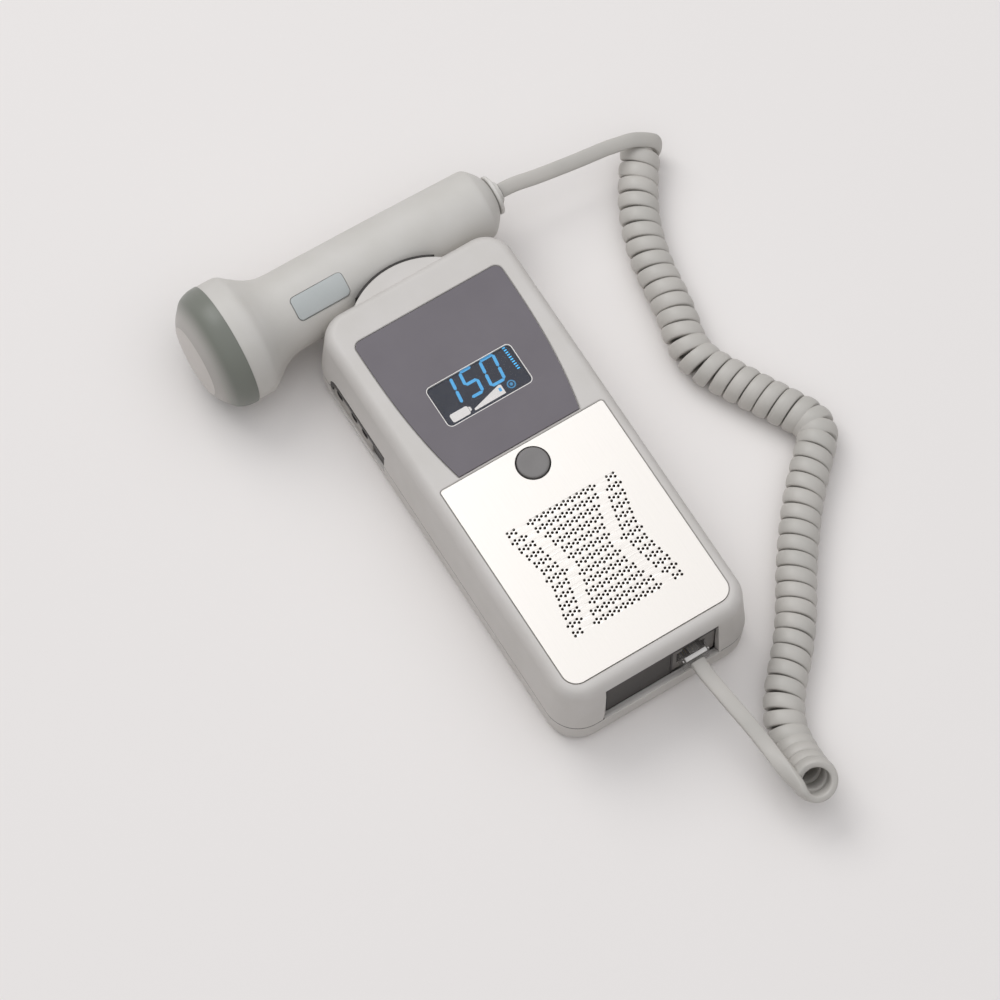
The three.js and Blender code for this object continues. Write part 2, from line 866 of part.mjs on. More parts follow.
// The display module's frame hangs under the front face, and its glass stands up in the opening.
function displayModule() {
  const top = ceiling - gap;
  const frame = box(
    [-moduleWidth / 2, moduleWidth / 2],
    [screenY - moduleHeight / 2, screenY + moduleHeight / 2],
    [top - moduleDepth, top],
  );
  const glass = prism(screenOutline(0), top - gap, top + glassDepth);
  return joined(frame, glass);
}
piece("display_module", displayModule(), "screen");

// The power button: a domed cap through the plate, a flange under the shell and a stem.
const switchHeight = frontRoom * switchShare;
const switchTop = boardTop + gap + switchHeight;
const stemBottom = switchTop + plungerHeight + buttonTravel + gap;
function powerButton() {
  const crown = caseDepth + buttonProud;
  const edge = crown - buttonDome;
  const flangeTop = ceiling - gap;
  const flangeBottom = flangeTop - buttonFlangeThickness;
  return turned([
    [0, stemBottom],
    [buttonStemRadius, stemBottom],
    [buttonStemRadius, flangeBottom],
    [buttonFlangeRadius, flangeBottom],
    [buttonFlangeRadius, flangeTop],
    [buttonRadius, flangeTop],
    [buttonRadius, edge],
    [buttonRadius - buttonDome, edge + buttonDome / 2],
    [buttonRadius / 2, crown - buttonDome * domeInnerShare],
    [0, crown],
  ], 16).translate([0, buttonY, 0]);
}
piece("power_button", powerButton(), "button");

function pushSwitch() {
  const half = switchSide / 2;
  const body = box(
    [-half, half],
    [buttonY - half, buttonY + half],
    [boardTop + gap, switchTop],
  );
  return body.add(rod(0, buttonY, plungerRadius, switchTop - gap, switchTop + plungerHeight));
}
piece("push_switch", pushSwitch(), "black");

// The speaker: a flange under the shell, a basket, a magnet and an open cone.
function speaker() {
  const top = ceiling - gap;
  const basketBottom = top - speakerFlange - basketDepth;
  return turned([
    [0, basketBottom - magnetDepth],
    [speakerRadius * magnetRadiusShare, basketBottom - magnetDepth],
    [speakerRadius * magnetRadiusShare, basketBottom],
    [speakerRadius * basketRadiusShare, top - speakerFlange - basketDepth / 2],
    [speakerRadius * coneRadiusShare, top - speakerFlange],
    [speakerRadius, top - speakerFlange],
    [speakerRadius, top],
    [speakerRadius * coneRadiusShare, top],
    [speakerRadius * coneMouthShare, top - coneDepth],
    [0, top - coneDepth + gap],
  ], 18).translate([0, speakerY, 0]);
}
piece("speaker", speaker(), "black");

function grilleCloth() {
  const top = caseDepth - plateThickness - gap;
  return box(
    [speakerWindow.x[0] + gap, speakerWindow.x[1] - gap],
    [speakerWindow.y[0] + gap, speakerWindow.y[1] - gap],
    [top - clothThickness, top],
  );
}
piece("grille_cloth", grilleCloth(), "cloth");

function mainBoard() {
  const heights = [boardBottom, boardTop];
  const wing = box([wingLeft, -boardHalfWidth + overrun], [wingNear, boardFar], heights);
  return box([-boardHalfWidth, boardHalfWidth], [boardNear, boardFar], heights).add(wing);
}
piece("main_board", mainBoard(), "board");

// The battery box is open towards the door and carries the board on its top.
function batteryBox() {
  const outside = box([-boxHalfWidth, boxHalfWidth], [boxNear, boxFar], [wall + gap, boxTop]);
  return outside.subtract(box(bay.x, bay.y, [0, boxTop - boxWall]));
}
piece("battery_box", batteryBox(), "dark");

// One cell with its nub towards the far end, and the same cell turned round.
const cellMiddle = (boxNear + boxFar) / 2;
const bayHalf = (boxFar - boxNear) / 2 - boxWall;
const springRoom = gap + contactThickness + springLength + gap;
function batteryCell(x, facing) {
  const profile = [
    [0, 0],
    [cellRadius, 0],
    [cellRadius, cellLength - cellNubLength],
    [cellNubRadius, cellLength - cellNubLength],
    [cellNubRadius, cellLength],
    [0, cellLength],
  ];
  const cell = geometryOf(turned(profile, 16)).rotateX(-Math.PI / 2);
  if (facing < 0) cell.rotateZ(Math.PI);
  const start = facing * (springRoom - bayHalf);
  return solid(cell.translate(x, cellMiddle + start, cellHeight));
}
piece("battery_cell_left", batteryCell(-cellSpacing / 2, 1), "cell");
piece("battery_cell_right", batteryCell(cellSpacing / 2, -1), "cell");

// A contact plate at each end of each cell, with a spring at the flat end.
function batteryContact(x, end, sprung) {
  const half = contactSide / 2;
  const face = cellMiddle + end * (bayHalf - gap);
  const plate = box(
    [x - half, x + half],
    [Math.min(face, face - end * contactThickness), Math.max(face, face - end * contactThickness)],
    [cellHeight - half, cellHeight + half],
  );
  if (!sprung) return plate;
  const profile = [[0, 0], [springBase, 0], [springTip, springLength], [0, springLength]];
  const spring = geometryOf(turned(profile, 12)).rotateX((end * Math.PI) / 2);
  return plate.add(solid(spring.translate(x, face - end * contactThickness, cellHeight)));
}
for (const [side, sign] of [["left", -1], ["right", 1]]) {
  const x = (sign * cellSpacing) / 2;
  piece(`battery_spring_${side}`, batteryContact(x, sign, true), "brass");
  piece(`battery_contact_${side}`, batteryContact(x, -sign, false), "brass");
}

// The door lies just under the back face, with a pad into the bay and a notch for a thumb.
function batteryDoor() {
  const face = doorSunk;
  const inner = face + doorThickness;
  const pad = box(
    [bay.x[0] + padInset, bay.x[1] - padInset],
    [bay.y[0] + padInset, bay.y[1] - padInset],
    [inner - gap, inner + padHeight],
  );
  const notch = rod(0, doorFar - 2 * notchRadius, notchRadius, 0, face + notchDepth);
  return prism(doorOutline(0), face, inner).add(pad).subtract(notch);
}
piece("battery_door", batteryDoor(), "shell");

// Four screws from the back, their heads at the bottom of the counterbores.
const screwHeadTop = counterboreDepth - gap;
function caseScrew([x, y]) {
  return turned([
    [0, screwHeadTop - screwHeadHeight],
    [screwHeadRadius, screwHeadTop - screwHeadHeight],
    [screwHeadRadius, screwHeadTop],
    [screwRadius, screwHeadTop],
    [screwRadius, screwTop - screwRadius],
    [0, screwTop],
  ], 8).translate([x, y, 0]);
}
screwPlaces.forEach((place, i) => piece(`case_screw_${i + 1}`, caseScrew(place), "steel"));

piece(
  "end_blank",
  box(
    [recessLeft + gap, blankRight],
    [blankFace, blankFace + blankThickness],
    [seamHeight + gap, recessTop - gap],
  ),
  "dark",
);

// The modular socket: a mouth for the plug, with a slot above it for the latch.
const plugTop = plugBottom + plugHeight;
const wireOffsets = [];
for (let i = 0; i < wireCount; i++) wireOffsets.push((i - (wireCount - 1) / 2) * wirePitch);
const mouthBottom = plugBottom - plugClearance;
const grooveDepth = wireSide + gap;
const socketGroove = {
  y: [socketFace + 2 * gap, mouthBack - 2 * gap],
  z: [mouthBottom - grooveDepth, mouthBottom + gap],
};
function cordSocket() {
  const body = box(
    [socketLeft, recessRight - gap],
    [socketFace, socketBack],
    [socketBottom, recessTop - gap],
  );
  const mouthHalf = plugWidth / 2 + plugClearance;
  const mouth = box(
    [plugX - mouthHalf, plugX + mouthHalf],
    [socketFace - overrun, mouthBack],
    [mouthBottom, plugTop + plugClearance],
  );
  const slotHalf = latchSlotWidth / 2;
  const slot = box(
    [plugX - slotHalf, plugX + slotHalf],
    [socketFace - overrun, mouthBack],
    [plugTop, plugTop + latchSlotHeight],
  );
  const grooveHalf = wireSide / 2 + wireGrooveGap;
  const grooves = wireOffsets.map((x) => {
    const across = [plugX + x - grooveHalf, plugX + x + grooveHalf];
    return box(across, socketGroove.y, socketGroove.z);
  });
  const crossGroove = box(
    [plugX - mouthHalf, plugX + mouthHalf],
    [socketGroove.y[1] - grooveDepth - 2 * wireGrooveGap, socketGroove.y[1]],
    socketGroove.z,
  );
  return body.subtract(mouth).subtract(slot).subtract(joined(...grooves, crossGroove));
}
piece("cord_socket", cordSocket(), "dark");

// Six wires in grooves of the mouth's floor, held together by a bar at the back.
function socketWires() {
  const low = socketGroove.z[0] + wireGrooveGap;
  const back = socketGroove.y[1] - wireGrooveGap;
  const wires = wireOffsets.map((x) => {
    const across = [plugX + x - wireSide / 2, plugX + x + wireSide / 2];
    return box(across, [socketGroove.y[0] + gap, back], [low, low + wireSide]);
  });
  const half = wireOffsets[wireCount - 1] + wireSide;
  const bar = box([plugX - half, plugX + half], [back - grooveDepth, back], [low, low + wireSide]);
  return joined(bar, ...wires);
}
piece("socket_wires", socketWires(), "brass");

// The plug: a clear block with slots for its blades and a springy latch on top.
const bladeY = [plugInner - bladeLength, plugInner - gap];
function modularPlug() {
  const half = plugWidth / 2;
  const body = box([plugX - half, plugX + half], [plugOuter, plugInner], [plugBottom, plugTop]);
  const latch = new THREE.Shape();
  latch.moveTo(-plugInner, plugTop - gap);
  latch.lineTo(-plugInner, plugTop);
  latch.lineTo(-plugInner + latchRoot, plugTop + latchThickness);
  latch.lineTo(-plugOuter - latchTail, plugTop + latchRise);
  latch.lineTo(-plugOuter - latchTail, plugTop + latchRise - latchThickness);
  latch.lineTo(-plugInner + latchRoot, plugTop - gap);
  const tab = new THREE.ExtrudeGeometry(latch, { depth: latchWidth, bevelEnabled: false });
  tab.rotateX(Math.PI / 2).rotateZ(-Math.PI / 2);
  const slots = wireOffsets.map((x) => {
    const slotHalf = wireSide / 2 + wireGrooveGap;
    return box(
      [plugX + x - slotHalf, plugX + x + slotHalf],
      [bladeY[0] - gap, plugInner + overrun],
      [plugBottom - overrun, plugBottom + bladeHeight],
    );
  });
  return body.add(solid(tab.translate(plugX + latchWidth / 2, 0, 0))).subtract(joined(...slots));
}
piece("modular_plug", modularPlug(), "clear");

wireOffsets.forEach((x, i) => {
  const across = [plugX + x - wireSide / 2, plugX + x + wireSide / 2];
  const heights = [plugBottom + gap / 2, plugBottom + bladeHeight - gap];
  piece(`plug_blade_${i + 1}`, box(across, bladeY, heights), "brass");
});

// The panel of sockets in the left side, and what stands behind it.
function slotHalfLength(x) {
  return Math.sqrt(wheelRadius * wheelRadius - (x - wheelX) * (x - wheelX));
}
function sidePanel() {
  let panel = box(
    [sidePanelFace, sidePanelBack],
    [sideNear + gap, sideFar - gap],
    [sideLow + gap, sideHigh - gap],
  );
  for (const y of audioY) {
    const hole = audioNose + gap;
    const reach = [sidePanelFace - overrun, sidePanelBack + overrun];
    panel = panel.subtract(rodAlongX(y, seamHeight, hole, reach[0], reach[1], 12));
  }
  const half = slotHalfLength(sidePanelBack) + gap;
  return panel.subtract(box(
    [sidePanelFace - overrun, sidePanelBack + overrun],
    [wheelY - half, wheelY + half],
    [seamHeight - wheelThickness / 2 - gap, seamHeight + wheelThickness / 2 + gap],
  ));
}
piece("side_panel", sidePanel(), "shell");

function audioSocket(y) {
  const front = sidePanelBack + sideSetback;
  const body = box(
    [front, front + audioDepth],
    [y - audioHalfWidth, y + audioHalfWidth],
    [audioLow, boxTop],
  );
  const tip = sidePanelFace + audioNoseSunk;
  const nose = rodAlongX(y, seamHeight, audioNose, tip, front + gap, 12);
  const left = front - overrun;
  return body.add(nose).subtract(
    rodAlongX(y, seamHeight, audioBore, left, front + audioBoreDepth, 8),
  );
}
piece("headphone_socket", audioSocket(audioY[0]), "black");
piece("recorder_socket", audioSocket(audioY[1]), "black");
piece("charger_socket", audioSocket(audioY[2]), "black");

// The thumbwheel, with a ribbed rim, on the shaft of the volume control.
function volumeWheel() {
  const rim = new THREE.Shape();
  for (let i = 0; i < 2 * wheelTeeth; i++) {
    const angle = (i / wheelTeeth) * Math.PI;
    const radius = i % 2 ? wheelRadius : wheelRadius - wheelKnurl;
    const x = radius * Math.cos(angle);
    const y = radius * Math.sin(angle);
    if (i === 0) rim.moveTo(x, y);
    else rim.lineTo(x, y);
  }
  const low = seamHeight - wheelThickness / 2;
  const wheel = prism(rim, low, low + wheelThickness);
  const bore = rod(0, 0, wheelBore, low - overrun, low + wheelThickness + overrun);
  return wheel.subtract(bore).translate([wheelX, wheelY, 0]);
}
piece("volume_wheel", volumeWheel(), "black");

function volumeControl() {
  const left = sidePanelBack + sideSetback;
  const body = box(
    [left, left + 2 * potHalfSide],
    [wheelY - potHalfSide, wheelY + potHalfSide],
    [potBottom, boxTop],
  );
  const shaftLow = seamHeight - wheelThickness / 2;
  return body.add(rod(wheelX, wheelY, potShaftRadius, shaftLow, potBottom + gap));
}
piece("volume_control", volumeControl(), "dark");

// The probe's housing: a hollow handle that flares into the round head.
const headInner = headRadius - probeWall;
function probeHousing() {
  const handle = [
    [endRadius, endFace],
    [endRadius + 2 * probeWall - 2 * gap, endFace - probeWall],
    [handleRightRadius - gap, endChamfer],
    [handleRightRadius, handleRight],
    [handleCentreRadius, 0],
    [handleMidRadius, handleMid],
    [handleLeftRadius, handleLeft],
  ];
  const flareShares = [
    [0.07, 0.175],
    [0.27, 0.37],
    [0.64, 0.58],
    [0.96, 0.755],
  ];
  const flareLength = probeSeam - handleLeft;
  const flareRise = headRadius - handleLeftRadius;
  const flare = flareShares.map(([rise, run]) => [
    handleLeftRadius + rise * flareRise,
    handleLeft + run * flareLength,
  ]);
  const open = probeSeam + gap / 2;
  const inner = [
    [headInner, open],
    [headInner, open + spigotLength + gap],
    [flare[2][0] - probeWall, flare[2][1]],
    [flare[1][0] - probeWall, flare[1][1] + probeWall],
    [handleLeftRadius - probeWall, handleLeft],
    [handleRightRadius - probeWall, endChamfer - probeWall],
    [cableHole, endFace - probeWall],
    [cableHole, endFace],
  ];
  return alongX(turned([...handle, ...flare, [headRadius, open], ...inner], 20));
}

// The label's outline in plan, grown by a margin, in the probe's own frame.
function labelOutline(margin) {
  const corner = labelCorner + margin;
  return roundedOutline(
    [labelLeft - margin, labelRight + margin],
    [labelNear - probeY - margin, labelFar - probeY + margin],
    [corner, corner, corner, corner],
  );
}
const labelInner = labelOuter - labelThickness;
function labelRegion(margin, inner, outer) {
  const tall = prism(labelOutline(margin), 0, outer + overrun, 3);
  const reach = [labelLeft - overrun, labelRight + overrun];
  const shell = rodAlongX(0, 0, outer, reach[0], reach[1], 40);
  return tall.intersect(shell).subtract(rodAlongX(0, 0, inner, reach[0], reach[1], 40));
}
const pocket = labelRegion(gap, labelInner - gap, labelOuter + overrun);
piece("probe_housing", probeHousing().subtract(pocket), "probe", probe);
piece("label_plate", labelRegion(0, labelInner, labelOuter), "label", probe);

// The cap: a dark ring with a spigot that plugs into the housing.
function probeCap() {
  const rimShares = [
    [0.2, 1, 0],
    [0.42, 0.96, 0],
    [0.66, 0.78, 0],
    [0.84, 0.41, 0],
    [1, 0, 0],
  ];
  const start = probeSeam - gap / 2;
  const rim = rimShares.map(([run, rise]) => [
    faceRadius + rise * (headRim - faceRadius),
    start + run * (faceEdge - start),
  ]);
  const spigot = headInner - gap;
  return alongX(turned([
    [headRadius, start],
    ...rim,
    [faceRadius, faceEdge + faceThickness],
    [spigot - probeWall, start - probeWall],
    [spigot - spigotWall, start + spigotLength],
    [spigot, start + spigotLength],
    [spigot, start],
  ], 20));
}
piece("probe_cap", probeCap(), "cap", probe);

// The lens face fills the ring's mouth and bulges a little.
const faceOuter = faceRadius - gap;
const lensShares = [
  [0.85, 0.4],
  [0.5, 0.83],
];
function lensFace() {
  const back = faceEdge + faceThickness;
  return alongX(turned([
    [0, back],
    [faceOuter, back],
    [faceOuter, faceEdge],
    ...lensShares.map(([out, rise]) => [faceOuter * out, faceEdge + (faceCrown - faceEdge) * rise]),
    [0, faceCrown],
  ], 20));
}
piece("lens_face", lensFace(), "face", probe);

// Two half-round crystals behind the lens, on one backing block.
const crystalFront = faceEdge + faceThickness + gap;
const crystalReach = crystalRadius + overrun;
function crystal(side) {
  const disc = rodAlongX(0, 0, crystalRadius, crystalFront, crystalFront + crystalThickness);
  const half = box(
    [crystalFront - overrun, crystalFront + overrun],
    side > 0 ? [crystalSplit / 2, crystalReach] : [-crystalReach, -crystalSplit / 2],
    [-crystalReach, crystalReach],
  );
  return disc.intersect(half);
}
piece("transmit_crystal", crystal(1), "ceramic", probe);
piece("receive_crystal", crystal(-1), "ceramic", probe);
const backingFront = crystalFront + crystalThickness + gap;
piece(
  "crystal_backing",
  rodAlongX(0, 0, crystalRadius, backingFront, backingFront + backingLength),
  "resin",
  probe,
);
piece(
  "probe_board",
  box(
    [probeBoardLeft, probeBoardLeft + probeBoardLength],
    [-probeBoardWidth / 2, probeBoardWidth / 2],
    [-boardThickness / 2, boardThickness / 2],
  ),
  "board",
  probe,
);

// The gland: a flange on the housing's end face, a stem through it and a tapered collar.
function cordGland() {
  const flange = endFace + gap;
  return alongX(turned([
    [0, flange - glandStem],
    [glandStemRadius, flange - glandStem],
    [glandStemRadius, flange],
    [glandFlangeRadius, flange],
    [glandFlangeRadius, flange + glandFlange],
    [glandRadius, flange + glandFlange],
    [glandTip, glandEnd],
    [0, glandEnd],
  ], 14));
}
piece("cord_gland", cordGland(), "probe", probe);

// The curly cord.
function vectors(points) {
  return points.map(([x, y, z]) => new THREE.Vector3(x, y, z));
}

function smoothThrough(points) {
  return new THREE.CatmullRomCurve3(points, false, "centripetal");
}

// Points evenly spaced along the coil's middle line, with a frame carried along without twist.
function middleLine() {
  const curve = smoothThrough(vectors(coilMiddle));
  curve.arcLengthDivisions = 40 * coilMiddle.length;
  const count = Math.floor(curve.getLength() / coilStep);
  const places = curve.getSpacedPoints(count);
  const spacing = curve.getLength() / count;
  const tangents = places.map((place, i) => {
    const before = places[Math.max(i - 1, 0)];
    const after = places[Math.min(i + 1, count)];
    return after.clone().sub(before).normalize();
  });
  const bends = tangents.map((tangent, i) => {
    const before = tangents[Math.max(i - 1, 0)];
    const after = tangents[Math.min(i + 1, count)];
    return after.clone().sub(before).length() / (2 * spacing);
  });
  const span = Math.round(bendAverage / coilStep);
  const bend = bends.map((_, i) => {
    let sum = 0;
    for (let j = -span; j <= span; j++) sum += bends[Math.min(Math.max(i + j, 0), count)];
    return sum / (2 * span + 1);
  });
  let up = new THREE.Vector3(0, 0, 1);
  const ups = tangents.map((tangent) => {
    up = up.clone().addScaledVector(tangent, -up.dot(tangent)).normalize();
    return up;
  });
  return { places, tangents, bend, ups, spacing };
}

// The coil: curls at a steady pitch, opened out where the middle line bends and at both ends.
// Each point comes with the direction that faces outwards there.
function curls() {
  const { places, tangents, bend, ups, spacing } = middleLine();
  const rates = bend.map((k, i) => {
    const eased = Math.max(1 - coilBendEase * coilRadius * k, coilLeastShare);
    const opened = coilFirstEase * Math.exp(-Math.pow((i * spacing) / coilPitch, 2));
    return (eased * (1 - opened)) / coilPitch;
  });
  const turns = [0];
  for (let i = 1; i < rates.length; i++) {
    turns.push(turns[i - 1] + ((rates[i] + rates[i - 1]) / 2) * spacing);
  }
  const wanted = Math.round(turns[turns.length - 1] - coilExtraTurn) + coilExtraTurn;
  const scale = wanted / turns[turns.length - 1];
  const points = [];
  const outs = [];
  let i = 0;
  for (let turn = coilFirstTurn; turn < wanted; turn += 1 / curlSteps) {
    while (turns[i + 1] * scale < turn) i++;
    const share = (turn / scale - turns[i]) / (turns[i + 1] - turns[i]);
    const middle = places[i].clone().lerp(places[i + 1], share);
    const up = ups[i].clone().lerp(ups[i + 1], share).normalize();
    const side = tangents[i].clone().lerp(tangents[i + 1], share).cross(up).normalize();
    const first = coilOpening * Math.exp(-Math.pow(turn / coilOpeningTurns, 2));
    const last = coilEndOpening * Math.exp(-Math.pow((turn - wanted) / coilOpeningTurns, 2));
    const radius = coilRadius + first + last;
    const angle = -2 * Math.PI * turn;
    const out = up.multiplyScalar(Math.cos(angle)).addScaledVector(side, Math.sin(angle));
    points.push(middle.addScaledVector(out, radius));
    outs.push(out);
  }
  return { points, outs };
}

// The direction of travel at a point of a line.
function travel(points, i) {
  const last = points.length - 1;
  const ahead = points[Math.min(i + 1, last)].clone().sub(points[i]).normalize();
  const behind = points[i].clone().sub(points[Math.max(i - 1, 0)]).normalize();
  return ahead.add(behind).normalize();
}

// A direction made square to the line at a point.
function squareTo(points, i, out) {
  const tangent = travel(points, i);
  return out.clone().addScaledVector(tangent, -out.dot(tangent)).normalize();
}

// The outward direction carried without twist along points, from the given one at the first.
function carried(points, first) {
  let out = first;
  return points.map((_, i) => {
    out = squareTo(points, i, out);
    return out;
  });
}

// The cord's section at each point: flat inside, and a little crowned outside.
function cordRings(points, outs) {
  const half = cordWidth / 2;
  const inner = -cordThickness / 2;
  const outer = cordThickness / 2;
  const section = [
    [0, outer],
    [half, outer - cordCrown],
    [half, inner],
    [-half, inner],
    [-half, outer - cordCrown],
  ];
  return points.map((point, i) => {
    const out = squareTo(points, i, outs[i]);
    const side = travel(points, i).cross(out);
    return section.map(([across, up]) => {
      return point.clone().addScaledVector(side, across).addScaledVector(out, up);
    });
  });
}

function flatTube(rings) {
  return skin(rings.map((ring) => ring.map((corner) => corner.toArray())));
}

// Points along the way in and the way out, a few for each length between route points.
const routeSteps = 3;
function along(points) {
  const curve = smoothThrough(points);
  return curve.getPoints(routeSteps * (points.length - 1));
}

// The least gap of the cord to itself, past its nearest neighbours along the way: from each corner
// of a ring to the edges between other rings.
function leastGap(rings) {
  const centres = rings.map((ring) => {
    return ring.reduce((sum, corner) => sum.add(corner), new THREE.Vector3()).divideScalar(ring.length);
  });
  const lengths = [0];
  for (let i = 1; i < centres.length; i++) {
    lengths.push(lengths[i - 1] + centres[i].distanceTo(centres[i - 1]));
  }
  const edge = new THREE.Line3();
  const nearest = new THREE.Vector3();
  let least = Infinity;
  let place = centres[0];
  for (let i = 0; i < rings.length; i++) {
    for (let j = 0; j < rings.length - 1; j++) {
      if (Math.abs(lengths[j] - lengths[i]) < neighbourShare * cordWidth) continue;
      if (centres[i].distanceTo(centres[j]) > nearShare * cordWidth) continue;
      for (const corner of rings[i]) {
        for (let k = 0; k < rings[j].length; k++) {
          edge.set(rings[j][k], rings[j + 1][k]).closestPointToPoint(corner, true, nearest);
          if (nearest.distanceTo(corner) < least) {
            least = nearest.distanceTo(corner);
            place = centres[i];
          }
        }
      }
    }
  }
  return { least, place, length: lengths[lengths.length - 1] };
}

const wound = curls();
const wayIn = along([...vectors(coilEntry), ...wound.points.slice(0, 3)]).slice(0, -2 * routeSteps - 1);
const wayOut = along([...wound.points.slice(-3), ...vectors(coilExit)]).slice(2 * routeSteps + 1);
const probeLine = along(vectors(probeLead));
const plugLine = along(vectors(plugLead));
const coilStart = probeLine.length - 1;
const coilEnd = coilStart + wayIn.length + wound.points.length + wayOut.length - 1;

// The whole cord in one line, with its outward directions carried both ways from the coil.
const cordLine = [...probeLine.slice(0, -1), ...wayIn, ...wound.points, ...wayOut, ...plugLine.slice(1)];
const firstCurl = coilStart + wayIn.length;
const lastCurl = firstCurl + wound.points.length - 1;
const before = carried(cordLine.slice(0, firstCurl + 1).reverse(), wound.outs[0]).reverse();
const after = carried(cordLine.slice(lastCurl), wound.outs[wound.outs.length - 1]);

// Between the coil and the plug the cord turns, so that its broad side lies along the plug's.
const plugUp = squareTo(cordLine, cordLine.length - 1, new THREE.Vector3(0, 0, 1));
const plugAhead = travel(cordLine, cordLine.length - 1);
const plugOut = after[after.length - 1];
const wring = Math.atan2(plugOut.clone().cross(plugUp).dot(plugAhead), plugOut.dot(plugUp));
const outs = [...before.slice(0, -1), ...wound.outs, ...after.slice(1)];
const turnedFrom = lastCurl - wringEarly * curlSteps;
let turnedAlong = 0;
for (let i = turnedFrom; i < cordLine.length; i++) {
  const share = Math.min(turnedAlong / wringLength, 1);
  outs[i] = outs[i].clone().applyAxisAngle(travel(cordLine, i), wring * share);
  if (i + 1 < cordLine.length) turnedAlong += cordLine[i].distanceTo(cordLine[i + 1]);
}

// The coil's ends stand back from the leads' ends by the usual gap.
const coilPath = cordLine.slice(coilStart, coilEnd + 1).map((point) => point.clone());
const coilOuts = outs.slice(coilStart, coilEnd + 1);
const pathEnd = coilPath.length - 1;
coilPath[0].lerp(coilPath[1], gap / coilPath[0].distanceTo(coilPath[1]));
coilPath[pathEnd].lerp(coilPath[pathEnd - 1], gap / coilPath[pathEnd].distanceTo(coilPath[pathEnd - 1]));
piece("cord_coil", flatTube(cordRings(coilPath, coilOuts)), "cord");

// The straight leads, with a ring at every other point.
function lead(from, to) {
  const points = [];
  const turned = [];
  for (let i = from; i <= to; i++) {
    if ((i - from) % 2 === 1 && i !== to) continue;
    points.push(cordLine[i]);
    turned.push(outs[i]);
  }
  return flatTube(cordRings(points, turned));
}
piece("cord_probe_lead", lead(0, coilStart), "cord");
piece("cord_plug_lead", lead(coilEnd, cordLine.length - 1), "cord");

const whole = leastGap(cordRings(cordLine, outs));
const wholeCurve = smoothThrough(cordLine);
wholeCurve.arcLengthDivisions = lengthSteps * cordLine.length;
const cordLength = wholeCurve.getLength();
console.log("perforation holes", perforation().length);
console.log("curls", Math.round(wound.points.length / curlSteps), "length", cordLength.toFixed(1));
const tightest = whole.place.toArray().map((value) => value.toFixed(1));
console.log("least gap of the cord to itself", whole.least.toFixed(2), "near", ...tightest);
console.log("turn of the cord on its way to the plug", ((wring * 180) / Math.PI).toFixed(0), "degrees");

export default group;
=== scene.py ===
import math

import bmesh
import bpy
import numpy as np
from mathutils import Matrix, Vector


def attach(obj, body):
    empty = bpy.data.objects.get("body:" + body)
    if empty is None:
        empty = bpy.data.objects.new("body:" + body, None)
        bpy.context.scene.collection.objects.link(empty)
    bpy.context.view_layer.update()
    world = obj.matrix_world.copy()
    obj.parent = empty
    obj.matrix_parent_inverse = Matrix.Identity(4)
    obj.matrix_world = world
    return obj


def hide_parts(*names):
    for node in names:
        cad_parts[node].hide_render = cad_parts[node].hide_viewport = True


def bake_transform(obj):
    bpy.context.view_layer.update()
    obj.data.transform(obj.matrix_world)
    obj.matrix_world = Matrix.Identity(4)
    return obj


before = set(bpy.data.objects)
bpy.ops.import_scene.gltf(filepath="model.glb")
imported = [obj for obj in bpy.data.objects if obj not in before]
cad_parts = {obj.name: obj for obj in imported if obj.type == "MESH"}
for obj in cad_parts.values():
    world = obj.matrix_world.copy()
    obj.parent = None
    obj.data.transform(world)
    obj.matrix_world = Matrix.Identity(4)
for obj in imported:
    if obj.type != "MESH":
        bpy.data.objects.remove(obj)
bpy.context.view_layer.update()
MM = 0.001


def new_object(name, data):
    """An object of this data, linked to the scene."""
    made = bpy.data.objects.new(name, data)
    bpy.context.scene.collection.objects.link(made)
    return made


# %% [markdown]
# The camera comes first, because the cord is measured against what it sees. A long lens far away
# keeps the case's edges almost parallel, as a catalogue photographer would have them.
# %% Camera
CAMERA_ELEVATION = math.radians(67.72)
CAMERA_TURN = math.radians(31.78)
CAMERA_DISTANCE = 1628.84 * MM
CAMERA_TARGET = Vector((-7.93, 6.23, 0)) * MM
camera = new_object("camera", bpy.data.cameras.new("camera"))
bpy.context.scene.camera = camera
camera.data.sensor_width = 36
camera.data.lens = 180
camera.data.clip_start = 0.05
camera.data.clip_end = 50
towards_camera = Vector((
    -math.sin(CAMERA_TURN) * math.cos(CAMERA_ELEVATION),
    -math.cos(CAMERA_TURN) * math.cos(CAMERA_ELEVATION),
    math.sin(CAMERA_ELEVATION),
))
camera.location = CAMERA_TARGET + towards_camera * CAMERA_DISTANCE
camera.rotation_mode = "QUATERNION"
camera.rotation_quaternion = (-towards_camera).to_track_quat("-Z", "Y")
print("camera at", [round(value, 3) for value in camera.location])

# %% [markdown]
# Colours are written as hex values, which a screen shows, and the shader wants linear light.
# One function turns one into the other. One small function adds a shader node with its settings,
# and links any input that is given another node's output.
# %% Helpers for colours and nodes


def linear(hex_colour):
    """A #rrggbb colour as linear light, with alpha 1."""
    values = [int(hex_colour[i : i + 2], 16) / 255 for i in (1, 3, 5)]
    return [v / 12.92 if v <= 0.04045 else ((v + 0.055) / 1.055) ** 2.4 for v in values] + [1]


def add_node(tree, kind, inputs=None, **settings):
    """A node of this kind with its settings, its inputs set or linked."""
    node = tree.nodes.new(kind)
    for name, value in settings.items():
        setattr(node, name, value)
    for name, value in (inputs or {}).items():
        if isinstance(value, bpy.types.NodeSocket):
            tree.links.new(value, node.inputs[name])
        else:
            node.inputs[name].default_value = value
    return node


def start_material(name):
    """An empty node material, its tree, and the place on the object that its patterns follow."""
    material = bpy.data.materials.new(name)
    material.use_nodes = True
    tree = material.node_tree
    tree.nodes.clear()
    return material, tree, add_node(tree, "ShaderNodeTexCoord").outputs["Object"]


